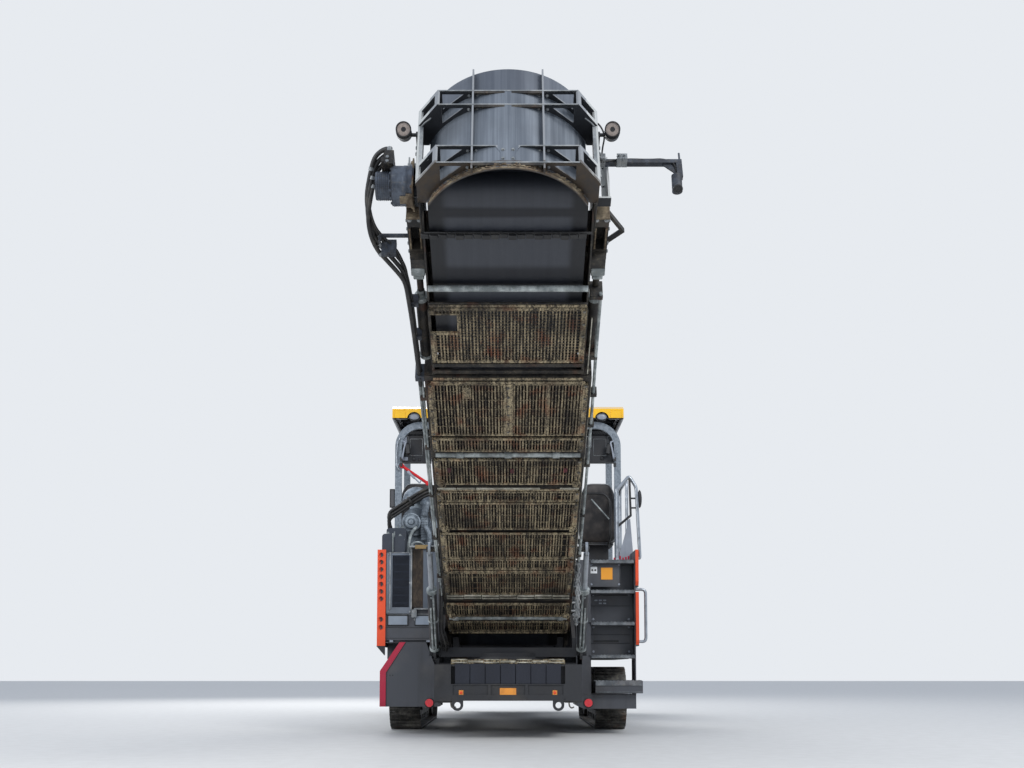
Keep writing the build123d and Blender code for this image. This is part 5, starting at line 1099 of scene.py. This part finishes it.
put("safety_chain", edge_grey, "conveyor", "galvanised",
    *[chain(hung(start, end, sag)) for start, end, sag in (
        ((1.62, -0.712, -0.18), (1.15, -0.715, -0.19), 0.42), ((1.45, -0.700, -0.20), (0.80, -0.712, -0.19), 0.36),
        ((1.30, -0.705, -0.20), (0.62, -0.705, -0.20), 0.22))])
put_level("chain_hooks", edge_grey, "galvanised",
          [(s - 0.008, s + 0.008, -0.722, -0.668, -0.200, -0.178) for s in (1.62, 1.15, 1.45, 0.80, 1.30, 0.62)],
          bevel=0.003)

# Lift cylinders: bands round the barrels, oil pipes along them and their ends.
lift_low, lift_high = np.array((-1.450, 0.782, 0.900)), np.array((-2.519, 0.782, 1.920))
lift_way = (lift_high - lift_low) / np.linalg.norm(lift_high - lift_low)
lift_side = np.cross(lift_way, left_way)
barrel_bands = joined(
    *[turned([(-w, 0.049), (-w, 0.0535), (w, 0.0535), (w, 0.049)], lift_low + lift_way * d, lift_way, 28)
      for d, w in ((0.085, 0.02), (0.915, 0.022), (0.50, 0.010))],
    *[tube([lift_low + lift_way * d + lift_side * 0.060 + (0, dy, 0) for d in (0.12, far)], 0.010, 8)
      for far, dy in ((0.90, -0.018), (0.72, 0.014))],
    bolts([lift_low + lift_way * d + lift_side * 0.072 for d in (0.16, 0.88)], lift_side, 0.010, 0.010))
put("cylinder_bands_left", pale_tube, "lift_barrel_left", "cylinder_grey", barrel_bands)
put("cylinder_bands_right", pale_tube, "lift_barrel_right", "cylinder_grey", mirrored(barrel_bands))

# ---------------------------------------------------------------------------
# Behind the driver's place, above the engine: bright cast housings of the intake
# and exhaust, ribbed ducts, and a thick bundle of hoses slung across them.
flange_y, flange_z = 1.152, 2.470
put_fixed("housing_rings", cast_grey, "exhaust_steel",
          turned([(0.0, 0.1052), (0.006, 0.112), (0.030, 0.112), (0.034, 0.098), (0.026, 0.088), (0.040, 0.074),
                  (0.058, 0.070), (0.064, 0.046), (0.052, 0.036), (0.070, 0.026), (0.074, 0.0)],
                 (-0.010, flange_y, flange_z), back_way, 40),
          bolts([(-0.043, flange_y + 0.104 * math.cos(a), flange_z + 0.104 * math.sin(a)) for a in circle(8)],
                back_way, 0.008),
          turned([(0.0, 0.1655), (0.0, 0.172), (0.012, 0.172), (0.020, 0.166)],
                 [(x, 1.107, 2.490) for x in (0.110, 0.480)], front_way, 40))
duct_way = curved([(0.02, 0.997, 2.56), (0.0, 0.985, 2.66), (0.06, 0.96, 2.74), (0.20, 1.03, 2.74)])
put_fixed("engine_ducts", cast_grey, "exhaust_steel",
          tube(duct_way, 0.040 + 0.003 * np.sin(np.arange(len(duct_way)) * 1.9), 18),
          hoses(([(-0.02, 0.93, 2.07), (-0.03, 0.93, 2.25), (-0.02, 0.94, 2.38), (0.03, 0.99, 2.42)], 10, 0.030, 16),
                ([(-0.04, 0.865, 2.05), (-0.05, 0.86, 2.30), (-0.02, 0.87, 2.50), (0.08, 0.92, 2.62)],
                 10, 0.024, 14)),
          turned([(0.0, 0.030), (0.02, 0.036), (0.05, 0.036), (0.07, 0.030)], (-0.02, 0.93, 2.20), up_way, 18),
          [(0.012, 0.022, 0.957, 1.041, z, z + 0.010) for z in np.arange(2.27, 2.58, 0.03)])
put_fixed("dome_rim", box_black, "exhaust_steel",
          turned([(0.0, 0.160), (0.0, 0.171), (0.022, 0.171), (0.026, 0.165)], (0.290, 1.119, 2.755), up_way, 40),
          turned([(0.0, 0.030), (0.014, 0.030), (0.018, 0.012)], (0.290, 1.119, 2.922), up_way))
slung_row = np.array([(-0.03, 1.395, 2.36), (-0.09, 1.420, 2.46), (-0.10, 1.405, 2.545), (-0.11, 1.330, 2.588),
                      (-0.12, 1.232, 2.655), (-0.12, 1.113, 2.735), (-0.11, 0.993, 2.812), (-0.08, 0.898, 2.850),
                      (0.00, 0.80, 2.845), (0.10, 0.72, 2.75), (0.16, 0.66, 2.50), (0.18, 0.62, 2.20)])
slung = [curved(slung_row + (dx, 0, dz), 8)
         for dx, dz in ((0.0, 0.0), (0.030, 0.034), (-0.018, 0.042), (0.012, -0.036), (0.040, -0.004))]
put_fixed("slung_hoses", hose_black, "hose_rubber",
          *[tube(way, 0.0195 + 0.0012 * np.sin(np.arange(len(way)) * 2.1)) for way in slung],
          *[turned([(-0.012, 0.060), (-0.012, 0.066), (0.012, 0.066), (0.012, 0.060)],
                   slung[0][k] + (0.012, 0, 0.006), slung[0][k + 1] - slung[0][k - 1], 20, True) for k in (36, 62)])
put_fixed("box_fittings", pale_tube, "galvanised",
          *[tube([(x, 1.311, z0), (x, 1.311, z1)], r, 10)
            for x, z0, z1, r in ((-0.50, 2.05, 2.31, 0.008), (-0.685, 2.06, 2.27, 0.009))],
          hoses(([(-0.30, 1.17, 2.06), (-0.32, 1.16, 2.22), (-0.28, 1.12, 2.34), (-0.12, 1.09, 2.40)], 10, 0.017, 12),
                ([(-0.46, 1.12, 2.06), (-0.46, 1.12, 2.16), (-0.40, 1.08, 2.20), (-0.30, 1.00, 2.20),
                  (-0.24, 0.92, 2.10)], 10, 0.014, 12)),
          turned([(0, 0.020), (0.014, 0.020), (0.020, 0.012), (0.034, 0.012)],
                 [(-0.55, 1.377, 2.268), (-0.55, 1.24, 2.243), (-0.18, 1.305, 2.373), (-0.18, 1.24, 2.373)],
                 up_way, 16))
put_fixed("box_seams", edge_grey, "light_grey",
          [(-0.672, -0.41, y, y + 0.004, z, z + 0.008) for y, z in ((1.322, 2.215), (1.180, 2.195))],
          [(-0.70, -0.66, 0.79, 1.38, 2.043, 2.052), (-0.72, 0.62, 0.785, 0.80, 2.043, 2.075)], bevel=0.001)
put_fixed("deck_boxes", box_black, "panel_grey",
          [(-0.70, -0.06, 0.79, 0.86, 2.052, 2.090), (-0.06, 0.0, 0.79, 1.42, 2.043, 2.075),
           (0.0, 0.60, 1.36, 1.42, 2.043, 2.10), (0.18, 0.30, 0.86, 0.93, 2.043, 2.24),
           (0.42, 0.60, 1.30, 1.41, 2.043, 2.20)], bevel=0.008)

# Driver's place: a red lever with its pale gas spring at the left hoop, a bent
# bright rod, framed dark panels under the roof, and the fascia's lamps.
lever_a, lever_b = np.array((0.935, 1.348, 3.300)), np.array((0.905, 1.020, 3.075))
put_fixed("red_lever", red_paint, "red_paint", tube([lever_a, lever_a * 0.98 + lever_b * 0.02, lever_b], 0.021, 4),
          *[turned([(-0.024, radius), (0.024, radius)], end, front_way)
            for end, radius in ((lever_b, 0.028), (lever_a, 0.030))], bevel=0.003)
put_fixed("lever_spring", white_plate, "rod_chrome",
          *[tube([(x0, y0, z0), (x1, y1, z1)], radius, sides) for x0, y0, z0, x1, y1, z1, radius, sides in (
              (0.900, 1.262, 3.215, 0.900, 1.185, 3.140, 0.016, 12),
              (0.900, 1.185, 3.140, 0.900, 1.120, 3.078, 0.0095, 10),
              (0.905, 1.120, 3.078, 0.905, 1.100, 3.118, 0.008, 8))],
          turned([(-0.015, 0.018), (0.020, 0.018)], (0.905, 1.262, 3.218), front_way, 14))
put_fixed("bent_rod", bright, "rail_chrome",
          tube(bent([(0.905, 1.375, 3.66), (0.900, 1.405, 3.60), (0.900, 1.415, 3.45), (0.905, 1.410, 3.285),
                     (0.905, 1.375, 3.24)], 0.03), 0.010, 10),
          [(0.905, 0.922, 1.385, 1.43, z0, z1) for z0, z1 in ((3.585, 3.61), (3.30, 3.33))], bevel=0.001)
put_fixed("panel_frames", edge_grey, "light_grey",
          frame_rows((0.973, 0.983, 0.990, 1.068, 3.545, 3.692), y=0.010, z=0.010),
          frame_rows((0.969, 0.983, 1.275, 1.392, 3.575, 3.695), y=0.006, z=0.006),
          frame_rows((0.975, 0.983, 1.09, 1.255, 3.44, 3.66), y=0.006, z=0.006), bevel=0.003, both=True)
put_fixed("beige_labels", white_plate, "white_sign", [(0.974, 0.983, 1.278, 1.390, 3.378, 3.424),
                                                      (0.974, 0.983, 1.292, 1.376, 3.585, 3.685)], bevel=0.002)
put_fixed("panel_dials", black_plastic, "black_plastic",
          *[turned([(0, r), (0.010, r), (0.014, r * 0.8), (0.010, r * 0.7), (0.012, 0.0)], (0.983, y, z),
                   back_way, 24)
            for y, z, r in ((1.325, 3.50, 0.036), (1.20, 3.40, 0.026), (1.13, 3.39, 0.018), (-1.31, 3.50, 0.036),
                            (-1.20, 3.41, 0.024))])
lamp_oval = (1, 1.62, 1)
for name, finish, slot, x, profile in (
        ("roof_lamp_glass", white_plate, "light_grey", 0.8455,
         [(0.0, 0.040), (0.006, 0.0405), (0.010, 0.034), (0.016, 0.022), (0.018, 0.0)]),
        ("roof_lamp_rings", black_plastic, "black_plastic", 0.846,
         [(0.0, 0.0405), (0.0, 0.0445), (0.010, 0.0445), (0.014, 0.042), (0.010, 0.0405)])):
    points, faces = turned(profile, (0, 0, 0), back_way, 28, slot == "black_plastic")
    put_fixed(name, finish, slot, (points * lamp_oval + (x, 1.190, 3.921), faces), both=True)
put_fixed("fascia_lines", roof_gel, "yellow_plastic",
          [(0.797, 0.803, y0, y1, 3.990, 3.994) for y0, y1 in ((-1.44, -1.30), (-1.08, 1.08), (1.30, 1.44))],
          [(0.795, 0.801, y - 0.002, y + 0.002, 3.905, 3.992) for y in (-1.44, -1.30, -1.08, 1.08, 1.30, 1.44)],
          bevel=0.001)
put_fixed("roof_gutters", black_plastic, "black_plastic",
          [(0.815, 2.585, y - 0.012, y + 0.012, 3.873, 3.887) for y in (-1.43, 1.43)],
          [(2.562, 2.586, -1.43, 1.43, 3.873, 3.887)], bevel=0.003)
put_fixed("roof_bows", deep_black, "black_plastic",
          [(0.86 + 0.34 * i, 0.872 + 0.34 * i, -1.42, 1.42, 3.985, 4.035) for i in range(1, 5)], bevel=0.002)


def signed_root(value, power):
    """The power of a value's size, with the value's sign."""
    return np.sign(value) * np.abs(value) ** power


def tipped(x, y, z, turn, centre):
    """Points turned by that many degrees about the Y axis and moved to a centre."""
    a = math.radians(turn)
    return np.stack([centre[0] + x * math.cos(a) - z * math.sin(a), centre[1] + y,
                     centre[2] + x * math.sin(a) + z * math.cos(a)], -1)


def cushion(half, crown, turn, centre, taper=0.0, channels=3, rows=36, columns=72):
    """A sewn pad: x = hx c(u) c(v), y = hy c(u) s(v), z = hz s(u), with c and s as signed roots of the cosine and
    sine, crowned by the distance from its seam, pinched there and at the sewn channels, and narrower at its top."""
    u, v = np.meshgrid(np.linspace(-np.pi / 2, np.pi / 2, rows), circle(columns), indexing="ij")
    x = half[0] * signed_root(np.cos(u), 0.35) * signed_root(np.cos(v), 0.32)
    y = half[1] * signed_root(np.cos(u), 0.35) * signed_root(np.sin(v), 0.32)
    inner = np.clip(1 - np.maximum(np.abs(x) / half[0], np.abs(y) / half[1]) ** 2, 0, 1)
    sewn = np.exp(-(np.cos(channels * np.pi * y / half[1] / 1.6) / 0.10) ** 2) * (inner > 0.05)
    z = half[2] * signed_root(np.sin(u), 0.6) * (0.62 + 0.38 * inner ** 0.6) * (1 - 0.16 * sewn)
    z = z + crown * inner * (z > 0)
    y = y * (1 - taper * np.clip(x / half[0], 0, 1) ** 2)
    points, (sides, ends) = skin(tipped(x, y, z, turn, centre)[1:-1])
    return points, [sides, ends[:, ::-1]]


def piping(half, turn, centre, taper, radius=0.009, count=64):
    """The piping round a pad: the pad's outline as a closed tube."""
    v = circle(count)
    x, y = half[0] * signed_root(np.cos(v), 0.32), half[1] * signed_root(np.sin(v), 0.32)
    y = y * (1 - taper * np.clip(x / half[0], 0, 1) ** 2)
    way = tipped(x, y, 0 * x, turn, centre)
    return tube(np.concatenate([way, way[:1]]), radius, 8)


seat_y, back_turn, back_taper = 1.150, 99, 0.28
for side, y in (("left", seat_y), ("right", -seat_y)):
    base = put_fixed(f"seat_cushion_{side}", seat_leather, "seat_leather",
                     cushion((0.235, 0.236, 0.055), 0.010, 0, (1.490, y, 2.3905)))
    put_fixed(f"seat_back_{side}", seat_leather, "seat_leather",
                        cushion((0.375, 0.236, 0.052), 0.008, back_turn, (1.150, y, 2.720), back_taper))
    if side == "left":
        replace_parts(base, "seats")
put_fixed("seat_piping", edge_grey, "light_grey", *[piping(*pad) for y in (seat_y, -seat_y) for pad in (
    ((0.233, 0.234), 0, (1.490, y, 2.3905), 0.0), ((0.373, 0.234), back_turn, (1.148, y, 2.720), back_taper))])
put_fixed("armrests", black_plastic, "black_plastic",
          [(1.18, 1.50, y - 0.025, y + 0.025, 2.585, 2.620) for y in (0.885, 1.405)],
          [(1.16, 1.20, y - 0.012, y + 0.012, 2.36, 2.60) for y in (0.895, 1.398)], bevel=0.010, both=True)
put_fixed("arm_levers", black_plastic, "black_plastic",
          *[tube(bent([(1.44, y, 2.62), (1.45, y, 2.70), (1.43, y, 2.76)], 0.02), 0.008, 8) for y in (0.885, -0.885)],
          turned([(0.0, 0.012), (0.02, 0.020), (0.045, 0.019), (0.055, 0.008)],
                 [(1.43, y, 2.745) for y in (0.885, -0.885)], up_way, 16))
put_fixed("console_buttons", red_paint, "console_plastic",
          [(2.002 + 0.10 * i, 2.022 + 0.10 * i, y, y + 0.03, 2.87 + 0.062 * i, 2.88 + 0.062 * i)
           for i in (0, 1) for y in np.arange(-0.60, 0.58, 0.12)], bevel=0.003)

# ---------------------------------------------------------------------------
# Tracks: forged pads with three grousers each and four bolts, on a closed loop
# of links; they take the place of the plain loops, pad for pad.
pads_each = 44
(track_x0, track_y0, track_z0), (track_x1, track_y1, track_z1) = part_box("track_left")
outer_r, track_axle_z = (track_z1 - track_z0) / 2, (track_z1 + track_z0) / 2
wheel_x = (track_x0 + outer_r, track_x1 - outer_r)
pad_y, pad_half_y = (track_y0 + track_y1) / 2, (track_y1 - track_y0) / 2
straight = wheel_x[1] - wheel_x[0]
pad_r = outer_r - 0.034
pad_pitch = 2 * (straight + np.pi * pad_r) / pads_each


def on_track(profile, y0, y1):
    """Closed outlines of (along, outward) points, one at each pitch of the loop of pads about the two end wheels,
    carried from y0 to y1. The way along the loop starts at the rear end of its lower run."""
    half_turn = np.pi * pad_r
    front, top, rear = straight, straight + half_turn, 2 * straight + half_turn
    d = (np.arange(pads_each) + 0.5) * pad_pitch
    parts = [d < front, d < top, d < rear]
    a = np.select(parts, [0, (d - front) / pad_r, np.pi], np.pi + (d - rear) / pad_r)[:, None]
    run = np.select(parts, [d, straight, straight - (d - top)], 0)[:, None]
    u, w = np.asarray(profile, float).T
    x = wheel_x[0] + run + pad_r * np.sin(a) + u * np.cos(a) + w * np.sin(a)
    z = track_axle_z - pad_r * np.cos(a) + u * np.sin(a) - w * np.cos(a)
    return skin(np.stack([np.stack([x, np.full_like(x, y), z], -1) for y in (y0, y1)], 1))


h = pad_pitch / 2
pad_plate = [(-h * 0.96, 0.004), (-h * 0.93, 0.012), (-h * 0.80, 0.0135), (-h * 0.72, 0.0265), (-h * 0.60, 0.0265),
             (-h * 0.52, 0.0125), (-h * 0.10, 0.0125), (-h * 0.05, 0.026), (h * 0.05, 0.026), (h * 0.10, 0.0125),
             (h * 0.52, 0.0125), (h * 0.60, 0.0265), (h * 0.72, 0.0265), (h * 0.80, 0.0135), (h * 0.99, 0.009),
             (h * 1.10, 0.001), (h * 1.08, -0.005), (h * 0.8, -0.005), (-h * 0.8, -0.004)]
link_plate = [(-h * 1.08, -0.012), (-h * 0.9, -0.004), (h * 0.9, -0.004), (h * 1.08, -0.012), (h * 1.08, -0.046),
              (h * 0.8, -0.056), (-h * 0.8, -0.056), (-h * 1.08, -0.046)]
bolt_head = [(-0.013, 0.012), (-0.0075, 0.0225), (0.0075, 0.0225), (0.013, 0.012)]
bushing = [(h + 0.022 * math.cos(t), -0.034 + 0.022 * math.sin(t)) for t in circle(10)]
link_y = (pad_y - 0.062, pad_y + 0.062)
track_shape = joined(on_track(pad_plate, pad_y - pad_half_y, pad_y + pad_half_y),
                     *[on_track(link_plate, y - 0.012, y + 0.012) for y in link_y],
                     on_track(bushing, pad_y - 0.05, pad_y + 0.05),
                     *[on_track([(u + du, w) for u, w in bolt_head], y - 0.011, y + 0.011)
                       for du in (-h * 0.31, h * 0.31) for y in link_y])
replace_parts(put_fixed("track_pads_left", track_iron, "track_steel", track_shape), "track_left")
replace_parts(put_fixed("track_pads_right", track_iron, "track_steel", mirrored(track_shape)), "track_right")
hub_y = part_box("track_carriages")[1][1]
put_fixed("carriage_details", track_iron, "dark_frame",
          turned([(0.0, 0.148), (0.004, 0.150), (0.004, 0.118), (-0.004, 0.112), (-0.004, 0.060), (0.006, 0.052),
                  (0.008, 0.0)], (wheel_x[0], hub_y - 0.006, track_axle_z), left_way, 32),
          bolts([(wheel_x[0] + 0.133 * math.cos(a), hub_y - 0.003, track_axle_z + 0.133 * math.sin(a))
                 for a in circle(12)], left_way),
          turned([(0.0, 0.050), (0.010, 0.050), (0.014, 0.036), (0.014, 0.0)],
                 [(x, pad_y + 0.0949, track_axle_z - 0.205) for x in np.arange(1.15, 3.40, 0.37)], left_way),
          [(x0, x1, pad_y + y0, pad_y + y1, track_axle_z + z0, track_axle_z + z1) for x0, x1, y0, y1, z0, z1 in (
              *[(1.05 + 0.37 * i, 1.25 + 0.37 * i, 0.092, 0.104, -0.150, -0.135) for i in range(7)],
              (0.95, 3.55, 0.094, 0.101, 0.060, 0.072), (1.5, 2.1, 0.094, 0.104, -0.04, 0.03))], both=True)

# ---------------------------------------------------------------------------
# Side doors: pressed beads, louvres on three of them, recessed handles with a
# key lock, hinges, and the holes' rims and the foot of the left rear door's edge.
door_y = 1.487
louvre_z = np.arange(0.24, 0.74, 0.034)
handle_profile = [(-0.001, 0.010), (0.004, 0.010), (0.005, 0.006)]
for name, sign, x0, x1, z0, z1, louvred, grip_x, grip_z, hinge in (
        ("left_rear", 1, -0.735, 0.785, 0.99, 2.08, True, -0.52, 1.60, 0.76),
        ("left_front", 1, 0.795, 2.338, 0.87, 2.04, True, 1.02, 1.55, 2.30),
        ("right_rear", -1, -0.290, 0.785, 0.99, 2.08, False, -0.12, 1.60, 0.76),
        ("right_front", -1, 0.795, 2.338, 0.87, 2.04, True, 1.02, 1.55, 2.30)):
    beads = [(x0 + 0.10, x1 - 0.10, door_y - 0.008, door_y - 0.004, z, z + 0.006) for z in (z0 + 0.16, z1 - 0.25)]
    beads += [(x0 + 0.16, x1 - 0.55, door_y - 0.008, door_y - out, z0 + z + low, z0 + z + high)
              for z in louvre_z for out, low, high in ((0.0015, 0, 0.016), (0.005, 0.016, 0.021)) if louvred]
    cup = frame_rows((grip_x - 0.075, grip_x + 0.075, door_y - 0.002, door_y + 0.003, grip_z - 0.035, grip_z + 0.035),
                     z=0.005, x=0.005)
    cup += [(grip_x - 0.060, grip_x + 0.035, door_y - 0.001, door_y + 0.005, grip_z - 0.014, grip_z + 0.014)]
    for kind, finish, slot, *shapes in (
            ("beads", panel_paint, "panel_grey", beads),
            ("handle", black_plastic, "black_plastic", cup,
             turned(handle_profile, (grip_x + 0.053, door_y, grip_z), left_way, 14)),
            ("hinges", panel_paint, "panel_grey",
             [(hinge - 0.06, hinge + 0.012, door_y - 0.001, door_y + 0.004, z, z + 0.09) for z in (1.10, 1.72)],
             bolts([(hinge - dx, door_y + 0.004, z + dz) for dx in (0.045, 0.015) for z in (1.10, 1.72)
                    for dz in (0.022, 0.068)], left_way, 0.007, 0.004))):
        shape = joined(*shapes)
        put(f"door_{kind}_{name}", finish, f"door_{name}", slot, shape if sign > 0 else mirrored(shape), bevel=0.001)
put("edge_holes", edge_paint, "door_left_rear", "red_paint",
    turned([(0.0, 0.0272), (0.0, 0.033), (0.003, 0.033), (0.004, 0.0272)],
           [(-0.7345, 1.4395, z) for z in [2.020 - 0.083 * i for i in range(7)] + [1.290, 1.200]],
           back_way, 20, True))
put("door_foot", frame_paint, "door_left_rear", "dark_frame",
    prism(-0.732, -0.716, [(1.386, 0.990), (1.485, 0.990), (1.394, 0.885), (1.386, 0.885)]), bevel=0.001)

# ---------------------------------------------------------------------------
# Front end: bolts and weld seams on the hopper's wings, ribs on its apron,
# caps on the push beam and bands on the truck rollers.
wing_x0, wing_x1 = (corner[0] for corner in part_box("hopper_wing_left"))
stations = np.linspace(wing_x0 + 0.10, wing_x1 - 0.10, 10)
wing_side = joined(
    bolts([(x, 1.390 + 0.335 * t, 0.976 + 0.504 * t) for x in stations for t in (0.12, 0.90)], (0, -0.833, 0.553),
          0.014, 0.006),
    bolts([(x, 0.929 + 0.461 * t, 0.860 + 0.116 * t) for x in stations for t in (0.10, 0.85)], (0, -0.244, 0.970),
          0.014, 0.006),
    tube([(wing_x0 + 0.02, 1.389, 0.977), (wing_x1 - 0.02, 1.389, 0.977)], 0.007, 8),
    *[tube([(x, 1.14, 0.9125), (x, 1.389, 0.977), (x, 1.72, 1.476)], 0.006, 6)
      for x in np.linspace(wing_x0, wing_x1, 4)[1:-1]])
apron_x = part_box("hopper_apron")[1][0]
put("apron_ribs", frame_paint, "apron", "dark_frame",
    [(apron_x - 0.021, apron_x - 0.010, y - 0.012, y + 0.012, 0.66, 0.935) for y in np.linspace(-0.72, 0.72, 7)],
    bolts([(6.947, y, 0.90) for y in np.linspace(-0.66, 0.66, 12)], front_way, 0.011, 0.006), bevel=0.002)
beam_top, roller_x, roller_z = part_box("push_beam")[1][2], 7.17, 0.44
put("beam_caps", frame_paint, "push_beam", "dark_frame",
    turned([(0.0, 0.055), (0.010, 0.055), (0.014, 0.045), (0.014, 0.0)], (7.005, 0, beam_top), up_way, 24),
    bolts([(7.04, y, beam_top) for y in (-1.05, -0.75, -0.40, 0.40, 0.75, 1.05)], up_way, 0.015, 0.010),
    bolts([(roller_x, y, roller_z) for y in (1.15, -1.15)], left_way, 0.022, 0.010))
roller_shape = joined(
    turned([(-0.012, 0.0995), (-0.012, 0.1025), (0.012, 0.1025), (0.012, 0.0995)],
           [(roller_x, y, roller_z) for y in (0.075, 0.575, 1.095)], left_way, 32, True),
    [(7.155, 7.185, 0.085, 1.085, 0.5385, 0.5425)],
    *[bolts([(roller_x + 0.07 * math.cos(a), y, roller_z + 0.07 * math.sin(a)) for a in circle(4)], (0, sign, 0),
            0.010, 0.006) for y, sign in ((1.120, 1), (0.050, -1))])
for side, turn in (("left", joined), ("right", mirrored)):
    put(f"wing_details_{side}", panel_paint, f"wing_{side}", "panel_grey", turn(wing_side))
    put(f"roller_bands_{side}", worn_steel, f"push_roller_{side}", "roller_steel", turn(roller_shape))


def lozenges(x0, x1, y0, y1, z, pitch=0.052):
    """Raised tread marks on a floor: a low bar at each grid point, turned +-45 degrees like a chequer board."""
    i, j = np.meshgrid(np.arange(int((x1 - x0) / pitch)), np.arange(int((y1 - y0) / pitch)), indexing="ij")
    turn = np.where((i + j) % 2, 1, -1)[..., None] * np.pi / 4
    u, v = np.array([(-0.018, 0), (0, -0.0045), (0.018, 0), (0, 0.0045)]).T
    x = x0 + (i[..., None] + 0.5) * pitch + u * np.cos(turn) - v * np.sin(turn)
    y = y0 + (j[..., None] + 0.5) * pitch + u * np.sin(turn) + v * np.cos(turn)
    return skin(np.stack([np.stack([x, y, np.full_like(x, level)], -1) for level in (z - 0.001, z + 0.0022)], -3))


put_fixed("deck_marks", frame_paint, "dark_frame", lozenges(-0.10, 2.0, -1.38, -0.62, 2.0),
          lozenges(0.74, 2.0, 0.62, 1.38, 2.0), lozenges(1.12, 2.0, -0.58, 0.58, 2.0),
          lozenges(-0.70, -0.47, -1.44, -0.95, 1.963))
